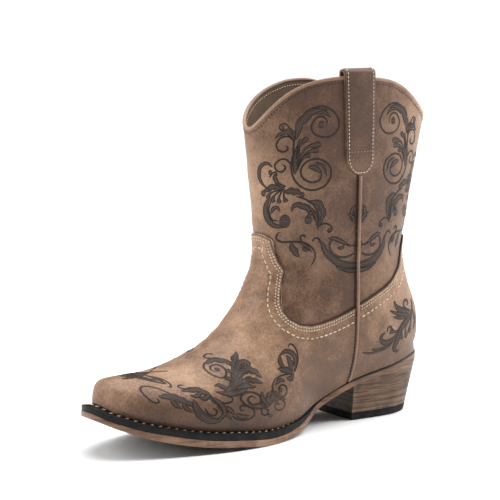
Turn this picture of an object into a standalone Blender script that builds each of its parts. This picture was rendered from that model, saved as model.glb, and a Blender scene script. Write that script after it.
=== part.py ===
"""Western ankle boot for the left foot: a hollow leather upper on a welted sole with a stacked heel.

Metres. +X points to the toe, +Y to the outer side of the foot, +Z up, and the floor is z = 0.
The pieces are drawn in the last's own frame, where x runs forward from the back of the heel seat,
and one empty carries them all to the frame that has the floor point under the middle as its origin.
"""

import math
from typing import NamedTuple

import bmesh
import bpy
import numpy as np
from mathutils import Vector
from mathutils.bvhtree import BVHTree

# Place of the last's frame below the boot's own
MIDDLE_X = 0.1359
MIDDLE_Y = 0.0011

# Walls and the space between pieces
GAP = 0.0003
WALL = 0.0020
OVERLAY = 0.0012

# Sole and heel
SEAT_EASE = 0.0002
WELT_INSET = 0.0032
WELT_SETBACK = 0.0004
WELT_LEAST = 0.0012
INSOLE_INSET = 0.0038
INSOLE_RISE = 0.0012
INSOLE_EASE = 0.0006
BREAST_X = 0.0715
HEEL_CAP = 0.0052
HEEL_REAR_TAPER = 0.0105
HEEL_SIDE_TAPER = 0.09
CAP_LEVEL = 0.86
EDGE_BEVEL = 0.0005
BEVEL_ANGLE = math.radians(50)

# Seams, collar and strap
SEAM_X = 0.0765
SEAM_CORD = 0.0022
SEAM_SLOT = 0.0032
SEAM_FOOT = 0.0020
SEAM_EASE = 0.0001
BINDING = 0.0024
BINDING_EASE = 0.0001
STRAP_WIDTH = 0.0245
STRAP_THICKNESS = 0.0020
STRAP_FOOT_Z = 0.1800
STRAP_LEAN = 0.0325
STRAP_FLARE = 0.0125
STRAP_RISE = 0.0075
STRAP_INSIDE = 0.0400
STRAP_EASE = 0.0007

# Steps of the meshes
GIRTH_STEPS = 2
GIRTH_COLUMNS = 30
EDGE_STEPS = 3
HEEL_STEPS = 6
TOE_STEPS = 6
CORD_STEPS = 22
STRAP_COLUMNS = 5
FOOT_STEPS = 5
LEG_STEPS = 7
LOOP_STEPS = 8
INSIDE_STEPS = 5
WELD = 1e-6

# Reach of the cutters past the boot
CUTTER_REACH = 0.08
CUTTER_FRONT = 0.30
CUTTER_REAR = -0.03
CUTTER_LOW = -0.02


class Girth(NamedTuple):
    """One section of the last: an oval from the front line to the sole or the back line."""

    top_x: float
    top_z: float
    low_x: float
    low_z: float
    outer: float  # half width towards the outer side
    inner: float  # half width towards the inner side
    middle: float  # sideways place of the section's middle
    cut: float  # share of the oval that the sole cuts away
    sharp: float  # 1 is an ellipse, more is a ridge, less is a box
    bow: float  # how far the middle leads the sides
    lift: float  # how far the sides stand above the front and back
    ledge: float  # how far the sole stands out from the upper
    welt: float  # thickness of the welt below it
    sole: float  # thickness of the outsole below that


GIRTH_ROWS = (
    # top_x  top_z   low_x   low_z   outer   inner   middle   cut   sharp bow    lift   ledge   welt    sole
    (0.2700, 0.0352, 0.2700, 0.0352, 0.0125, 0.0125, -0.0020, 0.40, 1.00, 0.005, 0, 0.0090, 0.0039, 0.0036),
    (0.2687, 0.0432, 0.2652, 0.0335, 0.0180, 0.0175, -0.0020, 0.42, 0.95, 0.006, 0, 0.0084, 0.0041, 0.0041),
    (0.2640, 0.0492, 0.2550, 0.0294, 0.0245, 0.0235, -0.0020, 0.40, 0.92, 0.006, 0, 0.0076, 0.0043, 0.0047),
    (0.2480, 0.0499, 0.2360, 0.0232, 0.0315, 0.0300, -0.0020, 0.38, 0.95, 0.004, 0, 0.0072, 0.0045, 0.0052),
    (0.2270, 0.0505, 0.2110, 0.0166, 0.0375, 0.0360, -0.0010, 0.37, 1.00, 0.002, 0, 0.0072, 0.0045, 0.0050),
    (0.2030, 0.0558, 0.1850, 0.0121, 0.0415, 0.0395, 0, 0.36, 1.05, 0, 0, 0.0070, 0.0045, 0.0048),
    (0.1800, 0.0655, 0.1580, 0.0096, 0.0425, 0.0400, 0, 0.33, 1.10, 0, 0, 0.0064, 0.0045, 0.0048),
    (0.1620, 0.0800, 0.1310, 0.0115, 0.0395, 0.0360, 0, 0.25, 1.10, 0, 0, 0.0045, 0.0035, 0.0048),
    (0.1478, 0.0980, 0.1030, 0.0180, 0.0350, 0.0325, 0, 0.11, 1.10, 0, 0, 0.0025, 0.0005, 0.0048),
    (0.1409, 0.1150, 0.0720, 0.0303, 0.0335, 0.0320, 0, 0.15, 1.05, 0, 0, 0.0020, 0, 0.0048),
    (0.1387, 0.1300, 0.0380, 0.0379, 0.0338, 0.0328, 0, 0.19, 1.00, 0, 0, 0.0020, 0, 0.0048),
    (0.1386, 0.1410, 0.0185, 0.0425, 0.0342, 0.0332, 0, 0.13, 1.00, 0, 0, 0.0020, 0, 0.0048),
    (0.1393, 0.1490, 0.0008, 0.0459, 0.0343, 0.0333, 0, 0.00, 1.00, 0, 0, 0.0020, 0, 0.0048),
    (0.1404, 0.1580, -0.0010, 0.0680, 0.0343, 0.0333, 0, 0.00, 1.00, 0, 0, 0, 0, 0.0048),
    (0.1415, 0.1670, 0.0084, 0.0930, 0.0343, 0.0333, 0, 0.00, 1.00, 0, 0, 0, 0, 0.0048),
    (0.1426, 0.1760, 0.0134, 0.1165, 0.0347, 0.0337, 0, 0.00, 1.00, 0, 0.002, 0, 0, 0.0048),
    (0.1439, 0.1880, 0.0080, 0.1500, 0.0355, 0.0345, 0, 0.00, 1.00, 0, 0.009, 0, 0, 0.0048),
    (0.1457, 0.2005, -0.0004, 0.1870, 0.0365, 0.0355, 0, 0.00, 1.00, 0, 0.0216, 0, 0, 0.0048),
    (0.1474, 0.2120, -0.0066, 0.2130, 0.0370, 0.0360, 0, 0.00, 1.00, 0, 0.0350, 0, 0, 0.0048),
)
GIRTHS = [Girth(*row) for row in GIRTH_ROWS]
HEEL_ROW = 12

# How steeply the collar climbs from its dips, where its peak is, and how much lower the inner side is
CLIMB_FRONT = 2.45
CLIMB_BACK = 0.70
CLIMB_INNER = 0.55
LIFT_INNER = 0.89
COLLAR_PEAK = 0.62
COLLAR_DIP = 0.37

# How much the sole's edge falls for each step back from the tip of the toe
TOE_FALL = 0.85


class Spot(NamedTuple):
    """A spot of the edge where the upper meets the sole."""

    place: Vector
    out: Vector
    ledge: float
    welt: float
    sole: float


class Colour(NamedTuple):
    """A plain finish."""

    red: float
    green: float
    blue: float
    roughness: float


BROWN_LEATHER = Colour(0.26, 0.16, 0.105, 0.62)
TAN_LEATHER = Colour(0.34, 0.22, 0.145, 0.60)
PALE_LEATHER = Colour(0.42, 0.29, 0.20, 0.60)
DARK_LEATHER = Colour(0.20, 0.125, 0.085, 0.65)
SOLE_TAN = Colour(0.36, 0.20, 0.11, 0.55)
WELT_BLACK = Colour(0.022, 0.021, 0.021, 0.50)
STACK_BROWN = Colour(0.24, 0.155, 0.095, 0.58)
RUBBER_BLACK = Colour(0.02, 0.02, 0.02, 0.70)
BOARD_BEIGE = Colour(0.40, 0.31, 0.22, 0.80)


def column_curves(t):
    """The girth at a place t along the table, smooth through every row."""
    last = len(GIRTHS) - 1
    row = min(int(t), last - 1)
    share = t - row
    before, here, after, beyond = (
        np.array(GIRTHS[min(max(row + step, 0), last)]) for step in (-1, 0, 1, 2)
    )
    slope_here = (after - before) / 2
    slope_after = (beyond - here) / 2
    rise = after - here
    bend = 3 * rise - 2 * slope_here - slope_after
    twist = slope_here + slope_after - 2 * rise
    return Girth(*(here + share * (slope_here + share * (bend + share * twist))))


def girth_point(girth, u):
    """A point of a section; u runs from its outer low end (-1) over the front (0) to the inner (1)."""
    cut = min(max(girth.cut, 0.0), 0.5)
    low_angle = math.acos(1 - 2 * cut)
    angle = math.pi - abs(u) * (math.pi - low_angle)
    height = (1 - math.cos(angle)) / 2
    share = (height - cut) / (1 - cut)
    round_swell = max(math.sin(angle), 0.0)
    swell = round_swell ** girth.sharp
    climb = CLIMB_BACK + (CLIMB_FRONT - CLIMB_BACK) * height
    lift = girth.lift * (1 - COLLAR_DIP * max(COLLAR_PEAK - height, 0.0))
    side = girth.outer * swell
    if u > 0:
        climb *= CLIMB_INNER
        lift *= LIFT_INNER
        side = -girth.inner * swell
    scallop = 1 - (1 - round_swell ** 2) ** climb
    trail = girth.bow * swell ** 2
    x = girth.low_x + (girth.top_x - girth.low_x) * share - trail
    z = girth.low_z + (girth.top_z - girth.low_z) * share + lift * scallop
    return Vector((x, girth.middle + side, z - TOE_FALL * trail))


class EdgePoint(NamedTuple):
    """A corner of a panel's cut edge, seen from the side."""

    x: float
    z: float


VAMP_EDGE = (
    EdgePoint(x=0.0893, z=0.0812),
    EdgePoint(x=0.0992, z=0.0784),
    EdgePoint(x=0.1080, z=0.0766),
    EdgePoint(x=0.1174, z=0.0758),
    EdgePoint(x=0.1260, z=0.0774),
    EdgePoint(x=0.1330, z=0.0818),
    EdgePoint(x=0.1360, z=0.0870),
    EdgePoint(x=0.1362, z=0.0925),
    EdgePoint(x=0.1335, z=0.1028),
    EdgePoint(x=0.1300, z=0.1147),
    EdgePoint(x=0.1326, z=0.1210),
    EdgePoint(x=0.1342, z=0.1282),
    EdgePoint(x=0.1352, z=0.1356),
)
COUNTER_EDGE = (
    EdgePoint(x=0.0595, z=0.0931),
    EdgePoint(x=0.0500, z=0.0972),
    EdgePoint(x=0.0418, z=0.1018),
    EdgePoint(x=0.0321, z=0.1092),
    EdgePoint(x=0.0240, z=0.1187),
    EdgePoint(x=0.0170, z=0.1290),
)
VAMP_SEAM_Z = 0.0850
COUNTER_SEAM_Z = 0.0868
TONGUE_TOP_Z = 0.1395
COUNTER_TOP_Z = 0.1330


def clear_scene():
    """Start from an empty scene."""
    for item in list(bpy.data.objects):
        bpy.data.objects.remove(item, do_unlink=True)


def make_collection(name):
    """A new collection in the scene."""
    collection = bpy.data.collections.new(name)
    bpy.context.scene.collection.children.link(collection)
    return collection


def make_material(name, colour):
    """A Principled material with the plain colour and roughness."""
    material = bpy.data.materials.new(name)
    material.use_nodes = True
    shader = material.node_tree.nodes["Principled BSDF"]
    shader.inputs["Base Color"].default_value = (colour.red, colour.green, colour.blue, 1.0)
    shader.inputs["Roughness"].default_value = colour.roughness
    shader.inputs["Metallic"].default_value = 0.0
    return material


def make_object(name, mesh, collection, parent, colour=None):
    """An object of the boot, carried by the boot's empty."""
    item = bpy.data.objects.new(name, mesh)
    collection.objects.link(item)
    item.parent = parent
    if colour is not None:
        mesh.materials.append(make_material(name + "_finish", colour))
    return item


def mesh_from(bm, name):
    """Turn an edit mesh into a mesh with its faces looking outward."""
    bmesh.ops.recalc_face_normals(bm, faces=bm.faces)
    mesh = bpy.data.meshes.new(name)
    bm.to_mesh(mesh)
    bm.free()
    return mesh


def loft(name, rings):
    """A closed body through rings of equal count, with flat ends."""
    bm = bmesh.new()
    rows = [[bm.verts.new(point) for point in ring] for ring in rings]
    for row, following in zip(rows, rows[1:]):
        for index in range(len(row)):
            beside = (index + 1) % len(row)
            bm.faces.new((row[index], row[beside], following[beside], following[index]))
    bm.faces.new(rows[0])
    bm.faces.new(list(reversed(rows[-1])))
    return mesh_from(bm, name)


def plate(name, sides):
    """A body between a top and a bottom face, each spanned across from its outer to its inner edge.

    sides is (outer top, inner top, inner bottom, outer bottom), each a list of points from back to front.
    """
    bm = bmesh.new()
    lines = [[bm.verts.new(point) for point in line] for line in sides]
    for line, beside in zip(lines, lines[1:] + lines[:1]):
        for index in range(len(line) - 1):
            bm.faces.new((line[index], line[index + 1], beside[index + 1], beside[index]))
    for end in (0, -1):
        if (sides[0][end] - sides[1][end]).length > GAP:
            bm.faces.new([line[end] for line in lines])
    bmesh.ops.remove_doubles(bm, verts=bm.verts, dist=WELD)
    bmesh.ops.dissolve_degenerate(bm, edges=bm.edges, dist=WELD)
    return mesh_from(bm, name)


def add_bevel(item, width):
    """Take the sharpness off a piece's edges."""
    bevel = item.modifiers.new("edge", "BEVEL")
    bevel.width = width
    bevel.segments = 1
    bevel.limit_method = "ANGLE"
    bevel.angle_limit = BEVEL_ANGLE


def upper_rows():
    """Points of the upper's outer face, a row for each section from the toe to the collar."""
    spans = len(GIRTHS) - 1
    turns = np.linspace(-1, 1, GIRTH_COLUMNS + 1)
    places = np.linspace(0, spans, spans * GIRTH_STEPS + 1)
    return [[girth_point(column_curves(t), u) for u in turns] for t in places]


def upper_skin():
    """The upper's outer face as an open edit mesh of triangles, welded down the back."""
    bm = bmesh.new()
    rows = [[bm.verts.new(point) for point in row] for row in upper_rows()]
    for row, following in zip(rows, rows[1:]):
        for index in range(len(row) - 1):
            bm.faces.new((row[index], row[index + 1], following[index + 1], following[index]))
    bmesh.ops.remove_doubles(bm, verts=bm.verts, dist=WELD)
    bmesh.ops.triangulate(bm, faces=bm.faces)
    bm.normal_update()
    outermost = max(bm.faces, key=lambda face: face.calc_center_median().y)
    if outermost.normal.y < 0:
        bmesh.ops.reverse_faces(bm, faces=bm.faces)
    bm.normal_update()
    return bm


def outward(vert):
    """The way out of the skin at a corner, level and square to the edge where it meets the sole."""
    if not vert.is_boundary or vert.co.z > GIRTHS[HEEL_ROW].low_z + GAP:
        return vert.normal.copy()
    before, after = (edge.other_vert(vert).co for edge in vert.link_edges if edge.is_boundary)
    along = after - before
    level = Vector((-along.y, along.x, 0.0)).normalized()
    return level if level.dot(vert.normal) > 0 else -level


def shell(name, near, far):
    """The wall between two forms of the upper, one grown by near and the other by far."""
    bm = upper_skin()
    faces = list(bm.faces)
    rim = [edge for edge in bm.edges if edge.is_boundary]
    inside = {vert: bm.verts.new(vert.co + outward(vert) * near) for vert in list(bm.verts)}
    moved = {vert: vert.co + outward(vert) * far for vert in inside}
    for face in faces:
        bm.faces.new([inside[vert] for vert in reversed(face.verts)])
    for edge in rim:
        start, end = edge.verts
        bm.faces.new((start, end, inside[end], inside[start]))
    for vert, place in moved.items():
        vert.co = place
    return mesh_from(bm, name)


def skin_tree():
    """The upper's outer face for finding places on it."""
    bm = upper_skin()
    tree = BVHTree.FromBMesh(bm)
    bm.free()
    return tree


def sole_edge(side, steps=EDGE_STEPS):
    """Spots where the upper meets the sole, from the back of the heel to the tip of the toe on one side."""
    turn = -1 if side > 0 else 1
    places = np.linspace(HEEL_ROW, 0, HEEL_ROW * steps + 1)
    girths = [column_curves(t) for t in places]
    points = [girth_point(girth, turn) for girth in girths]
    toe = GIRTHS[0]
    corner = points[-1]
    for step in range(1, TOE_STEPS + 1):
        share = 1 - step / TOE_STEPS
        half = (corner.y - toe.middle) * share
        lead = 1 - share ** 2
        x = corner.x + (toe.low_x - corner.x) * lead
        z = corner.z + (toe.low_z - corner.z) * lead
        points.append(Vector((x, toe.middle + half, z)))
        girths.append(toe)
    spots = []
    last = len(points) - 1
    for index, point in enumerate(points):
        along = points[min(index + 1, last)] - points[max(index - 1, 0)]
        out = Vector((-along.y * side, along.x * side, 0.0)).normalized()
        if index == 0:
            out = Vector((-1.0, 0.0, 0.0))
        if index == last:
            out = Vector((1.0, 0.0, 0.0))
        girth = girths[index]
        spots.append(Spot(point, out, girth.ledge, max(girth.welt, 0.0), girth.sole))
    return spots


def seat_drop(spot):
    """How far the outsole's top lies below the upper's edge."""
    welted = min(spot.welt / WELT_LEAST, 1.0)
    return GAP + spot.welt + GAP * welted + SEAT_EASE * (1 - welted)


def at_height(spot, reach, z):
    """A point at a distance out from the upper's edge, at a height."""
    place = spot.place + spot.out * reach
    return Vector((place.x, place.y, z))


def outsole_top(spot):
    """Height of the outsole's top face."""
    return spot.place.z - seat_drop(spot)


def outsole_bottom(spot):
    """Height of the outsole's underside, flat where it reaches the floor."""
    return max(outsole_top(spot) - spot.sole, 0.0)


def build_outsole(outer, inner):
    """The outsole from heel seat to toe."""
    sides = (
        [at_height(spot, spot.ledge, outsole_top(spot)) for spot in outer],
        [at_height(spot, spot.ledge, outsole_top(spot)) for spot in inner],
        [at_height(spot, spot.ledge, outsole_bottom(spot)) for spot in inner],
        [at_height(spot, spot.ledge, outsole_bottom(spot)) for spot in outer],
    )
    return plate("outsole", sides)


def build_insole(outer, inner):
    """The board inside the upper, on the outsole."""
    sides = (
        [at_height(spot, -INSOLE_INSET, spot.place.z + INSOLE_RISE) for spot in outer],
        [at_height(spot, -INSOLE_INSET, spot.place.z + INSOLE_RISE) for spot in inner],
        [at_height(spot, -INSOLE_INSET, outsole_top(spot) + INSOLE_EASE) for spot in inner],
        [at_height(spot, -INSOLE_INSET, outsole_top(spot) + INSOLE_EASE) for spot in outer],
    )
    return plate("insole", sides)


def build_welt(outer, inner):
    """The strip round the forefoot between outsole and upper."""
    path = [spot for spot in outer if spot.welt > WELT_LEAST]
    path += [spot for spot in reversed(inner[:-1]) if spot.welt > WELT_LEAST]
    rings = []
    for spot in path:
        top = spot.place.z - GAP
        low = top - spot.welt
        rim = spot.ledge - WELT_SETBACK
        rings.append([
            at_height(spot, -WELT_INSET, low),
            at_height(spot, -WELT_INSET, top),
            at_height(spot, rim, top),
            at_height(spot, rim, low),
        ])
    return loft("welt", rings)


def heel_spots(edge):
    """The edge's spots behind the heel breast, the last one on the breast itself."""
    behind = [spot for spot in edge if spot.place.x < BREAST_X]
    ahead = edge[len(behind)]
    share = (BREAST_X - behind[-1].place.x) / (ahead.place.x - behind[-1].place.x)
    place = behind[-1].place.lerp(ahead.place, share)
    out = Vector((0.0, behind[-1].out.y, 0.0)).normalized()
    return behind + [Spot(place, out, ahead.ledge, 0.0, ahead.sole)]


def heel_point(spot, level, z):
    """A point of the heel's side; level is 0 at the seat and 1 at the floor."""
    seat = spot.place + spot.out * spot.ledge
    x = seat.x + HEEL_REAR_TAPER * level * (BREAST_X - seat.x) / BREAST_X
    y = seat.y * (1 - HEEL_SIDE_TAPER * level)
    return Vector((x, y, z))


def build_heel_stack(outer, inner):
    """The stacked heel between the outsole and its cap."""
    sides = (
        [heel_point(spot, 0.0, outsole_bottom(spot) - GAP) for spot in outer],
        [heel_point(spot, 0.0, outsole_bottom(spot) - GAP) for spot in inner],
        [heel_point(spot, CAP_LEVEL, HEEL_CAP + GAP) for spot in inner],
        [heel_point(spot, CAP_LEVEL, HEEL_CAP + GAP) for spot in outer],
    )
    return plate("heel_stack", sides)


def build_heel_cap(outer, inner):
    """The cap on the floor."""
    sides = (
        [heel_point(spot, CAP_LEVEL, HEEL_CAP) for spot in outer],
        [heel_point(spot, CAP_LEVEL, HEEL_CAP) for spot in inner],
        [heel_point(spot, 1.0, 0.0) for spot in inner],
        [heel_point(spot, 1.0, 0.0) for spot in outer],
    )
    return plate("heel_cap", sides)


def feather_height(x):
    """Height of the upper's lower edge at a place along the foot."""
    spots = sole_edge(1)
    return float(np.interp(x, [spot.place.x for spot in spots], [spot.place.z for spot in spots]))


def make_cutter(name, corners, collection, parent):
    """A wide cutter with the given outline seen from the side."""
    bm = bmesh.new()
    face = bm.faces.new([bm.verts.new((corner.x, -CUTTER_REACH, corner.z)) for corner in corners])
    grown = bmesh.ops.extrude_face_region(bm, geom=[face])
    moved = [item for item in grown["geom"] if isinstance(item, bmesh.types.BMVert)]
    bmesh.ops.translate(bm, verts=moved, vec=(0.0, 2 * CUTTER_REACH, 0.0))
    cutter = make_object(name, mesh_from(bm, name), collection, parent)
    cutter.hide_render = True
    cutter.display_type = "WIRE"
    return cutter


def vamp_outline():
    """The vamp from the side: up the seam, along its cut edge, over the tongue and round below the toe."""
    seam = SEAM_X + SEAM_SLOT / 2
    corners = [EdgePoint(seam, CUTTER_LOW), EdgePoint(seam, VAMP_SEAM_Z)]
    corners += VAMP_EDGE
    corners += [EdgePoint(GIRTHS[HEEL_ROW].top_x, TONGUE_TOP_Z), EdgePoint(CUTTER_FRONT, TONGUE_TOP_Z)]
    return corners + [EdgePoint(CUTTER_FRONT, CUTTER_LOW)]


def counter_outline():
    """The heel counter from the side: up the seam, along its cut edge and round below the heel."""
    seam = SEAM_X - SEAM_SLOT / 2
    corners = [EdgePoint(seam, CUTTER_LOW), EdgePoint(seam, COUNTER_SEAM_Z)]
    corners += COUNTER_EDGE
    return corners + [EdgePoint(CUTTER_REAR, COUNTER_TOP_Z), EdgePoint(CUTTER_REAR, CUTTER_LOW)]


def make_overlay(name, outline, groups, parent):
    """A panel laid over the upper: the wall between two larger forms of it, kept inside an outline."""
    collection, cutters = groups
    item = make_object(name, shell(name, GAP, GAP + OVERLAY), collection, parent, TAN_LEATHER)
    keep = item.modifiers.new("keep", "BOOLEAN")
    keep.operation = "INTERSECT"
    keep.solver = "EXACT"
    keep.object = make_cutter(name + "_cutter", outline, cutters, parent)
    return item


def surface(tree, x, z, side):
    """A point of the upper's outer face and the way out of it, looking in from one side."""
    place, normal = tree.ray_cast(Vector((x, side * CUTTER_REACH, z)), Vector((0.0, -side, 0.0)))[:2]
    return place, normal


def make_tube(name, points, radius, cyclic):
    """A round cord along points, as a mesh."""
    curve = bpy.data.curves.new(name + "_path", "CURVE")
    curve.dimensions = "3D"
    curve.bevel_depth = radius
    curve.bevel_resolution = 1
    curve.use_fill_caps = True
    spline = curve.splines.new("POLY")
    spline.points.add(len(points) - 1)
    for spot, point in zip(spline.points, points):
        spot.co = (point.x, point.y, point.z, 1.0)
    spline.use_cyclic_u = cyclic
    carrier = bpy.data.objects.new(name + "_path", curve)
    bpy.context.scene.collection.objects.link(carrier)
    view = bpy.context.evaluated_depsgraph_get()
    mesh = bpy.data.meshes.new_from_object(carrier.evaluated_get(view))
    bpy.data.objects.remove(carrier, do_unlink=True)
    bm = bmesh.new()
    bm.from_mesh(mesh)
    bmesh.ops.remove_doubles(bm, verts=bm.verts, dist=WELD)
    return mesh_from(bm, name)


def build_seam(name, tree, side, top_z):
    """The raised cord on a side seam."""
    radius = SEAM_CORD / 2
    points = []
    for z in np.linspace(feather_height(SEAM_X) + SEAM_FOOT, top_z, CORD_STEPS):
        place, normal = surface(tree, SEAM_X, z, side)
        level = Vector((0.0, normal.y, normal.z)).normalized()
        points.append(place + level * (GAP + SEAM_EASE + radius))
    return make_tube(name, points, radius, False)


def collar_row():
    """The collar's outer edge, once round."""
    return upper_rows()[-1][:-1]


def build_binding():
    """The rounded edge that sits on the collar."""
    radius = BINDING / 2
    below, row = ([Vector(point) for point in line[:-1]] for line in upper_rows()[-2:])
    points = []
    for index, point in enumerate(row):
        along = (row[(index + 1) % len(row)] - row[index - 1]).normalized()
        rise = point - below[index]
        rise = (rise - along * rise.dot(along)).normalized()
        inward = along.cross(rise)
        points.append(point + inward * WALL / 2 + rise * (GAP + BINDING_EASE + radius))
    return make_tube("collar_binding", points, radius, True)


class StrapRing(NamedTuple):
    """One cross section of the pull strap."""

    z: float
    out: float  # distance of its middle from the upper's outer face
    angle: float  # 0 faces outward, half a turn faces inward
    half: float  # half its width


def strap_rings(collar_z, leg_z):
    """Sections of the strap: rounded foot, outer leg, loop over the collar, inner leg."""
    half = STRAP_WIDTH / 2
    core = STRAP_THICKNESS / 2
    rings = []
    for turn in np.linspace(0, math.pi / 2, FOOT_STEPS + 1)[1:]:
        rise = half * (1 - math.cos(turn))
        rings.append(StrapRing(STRAP_FOOT_Z + rise, GAP + core, 0.0, half * math.sin(turn)))
    first_z = STRAP_FOOT_Z + half
    for z in np.linspace(first_z, leg_z, LEG_STEPS + 1)[1:]:
        ease = STRAP_EASE * (z - first_z) / (leg_z - first_z)
        rings.append(StrapRing(z, max(GAP, ease) + core, 0.0, half))
    radius = WALL / 2 + STRAP_EASE + core
    arch_z = collar_z + STRAP_RISE - radius - core
    for angle in np.linspace(0, math.pi, LOOP_STEPS):
        out = radius * math.cos(angle) - WALL / 2
        rings.append(StrapRing(arch_z + radius * math.sin(angle), out, angle, half))
    for z in np.linspace(leg_z, collar_z - STRAP_INSIDE, INSIDE_STEPS):
        rings.append(StrapRing(z, -WALL - STRAP_EASE - core, math.pi, half))
    return rings


def build_strap(tree):
    """The pull strap: up the outer side, over the collar in a loop and down inside."""
    collar = [point for point in collar_row() if point.y > 0]
    collar_z = max(point.z for point in collar)
    middle = SEAM_X + STRAP_LEAN * (collar_z - STRAP_FOOT_Z)
    leg_z = min(point.z for point in collar if abs(point.x - middle) < STRAP_WIDTH) - BINDING
    rings = []
    for ring in strap_rings(collar_z, leg_z):
        push = Vector((0.0, math.cos(ring.angle), math.sin(ring.angle))) * STRAP_THICKNESS / 2
        line = []
        for share in np.linspace(-1, 1, STRAP_COLUMNS):
            spread = ring.half + STRAP_FLARE * (ring.z - STRAP_FOOT_Z) * ring.half / STRAP_WIDTH * 2
            x = SEAM_X + STRAP_LEAN * (ring.z - STRAP_FOOT_Z) + share * spread
            y = surface(tree, x, min(ring.z, leg_z), 1)[0].y + ring.out
            line.append(Vector((x, y, ring.z)))
        rings.append([point + push for point in line] + [point - push for point in reversed(line)])
    return loft("pull_strap", rings)


def build_boot():
    """All pieces of the boot."""
    clear_scene()
    boot = make_collection("western_ankle_boot")
    cutters = make_collection("cutters")
    holder = bpy.data.objects.new("boot", None)
    holder.location = (-MIDDLE_X, -MIDDLE_Y, 0.0)
    boot.objects.link(holder)

    outer = sole_edge(1)
    inner = sole_edge(-1)
    outsole = make_object("outsole", build_outsole(outer, inner), boot, holder, SOLE_TAN)
    add_bevel(outsole, EDGE_BEVEL)
    welt = make_object("welt", build_welt(outer, inner), boot, holder, WELT_BLACK)
    add_bevel(welt, EDGE_BEVEL)
    heel_outer = heel_spots(sole_edge(1, HEEL_STEPS))
    heel_inner = heel_spots(sole_edge(-1, HEEL_STEPS))
    stack = build_heel_stack(heel_outer, heel_inner)
    make_object("heel_stack", stack, boot, holder, STACK_BROWN)
    cap = build_heel_cap(heel_outer, heel_inner)
    make_object("heel_cap", cap, boot, holder, RUBBER_BLACK)
    make_object("insole", build_insole(outer, inner), boot, holder, BOARD_BEIGE)

    tree = skin_tree()
    make_object("upper", shell("upper", -WALL, 0.0), boot, holder, BROWN_LEATHER)
    groups = (boot, cutters)
    make_overlay("vamp", vamp_outline(), groups, holder)
    make_overlay("heel_counter", counter_outline(), groups, holder)

    strap_foot = STRAP_FOOT_Z - GAP * 2
    seam_top = max(point.z for point in collar_row() if point.y < 0) - BINDING
    outer_cord = build_seam("side_seam_outer", tree, 1, strap_foot)
    make_object("side_seam_outer", outer_cord, boot, holder, PALE_LEATHER)
    inner_cord = build_seam("side_seam_inner", tree, -1, seam_top)
    make_object("side_seam_inner", inner_cord, boot, holder, PALE_LEATHER)
    make_object("collar_binding", build_binding(), boot, holder, PALE_LEATHER)
    make_object("pull_strap", build_strap(tree), boot, holder, DARK_LEATHER)


build_boot()
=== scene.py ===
"""Western ankle boot for the left foot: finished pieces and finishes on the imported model.

Metres. +X points to the toe, +Y to the outer side of the foot, +Z up. The pieces are drawn in the last's own
frame, where x runs forward from the back of the heel seat, and are moved to the boot's frame when finished.
"""

import logging
import math
from dataclasses import dataclass, field
from enum import Enum
from functools import cached_property
from typing import Callable, Iterable, NamedTuple, Sequence

import bmesh
import bpy
import numpy as np
from mathutils import Matrix, Vector
from mathutils.bvhtree import BVHTree
from mathutils.kdtree import KDTree


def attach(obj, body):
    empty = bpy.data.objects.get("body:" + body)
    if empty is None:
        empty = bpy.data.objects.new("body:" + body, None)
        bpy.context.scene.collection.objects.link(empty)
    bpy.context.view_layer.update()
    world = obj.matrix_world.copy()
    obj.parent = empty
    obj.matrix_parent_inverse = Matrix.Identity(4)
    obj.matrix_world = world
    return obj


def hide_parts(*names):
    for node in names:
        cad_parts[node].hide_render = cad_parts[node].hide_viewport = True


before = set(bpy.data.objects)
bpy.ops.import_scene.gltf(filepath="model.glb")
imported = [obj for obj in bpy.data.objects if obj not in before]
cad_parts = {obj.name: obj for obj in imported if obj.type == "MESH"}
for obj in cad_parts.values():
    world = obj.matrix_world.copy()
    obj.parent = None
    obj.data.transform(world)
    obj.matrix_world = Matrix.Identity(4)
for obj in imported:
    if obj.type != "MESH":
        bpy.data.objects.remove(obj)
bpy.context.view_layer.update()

LOG = logging.getLogger("boot")
MIDDLE = Vector((0.1359, 0.0011, 0.0))  # of the boot's frame, in the last's
WELD = 1e-6
CURVE_STEPS = 16
GAP, WALL, OVERLAY, BINDING = 0.0003, 0.0020, 0.0012, 0.0024
INSET_STEP = 0.0008
SEAM_X, SEAM_SLOT = 0.0765, 0.0032
Array, BMesh = np.ndarray, bmesh.types.BMesh
Piece, Material, Node, Socket = bpy.types.Object, bpy.types.Material, bpy.types.Node, bpy.types.NodeSocket
Colour = tuple[float, float, float]

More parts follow.
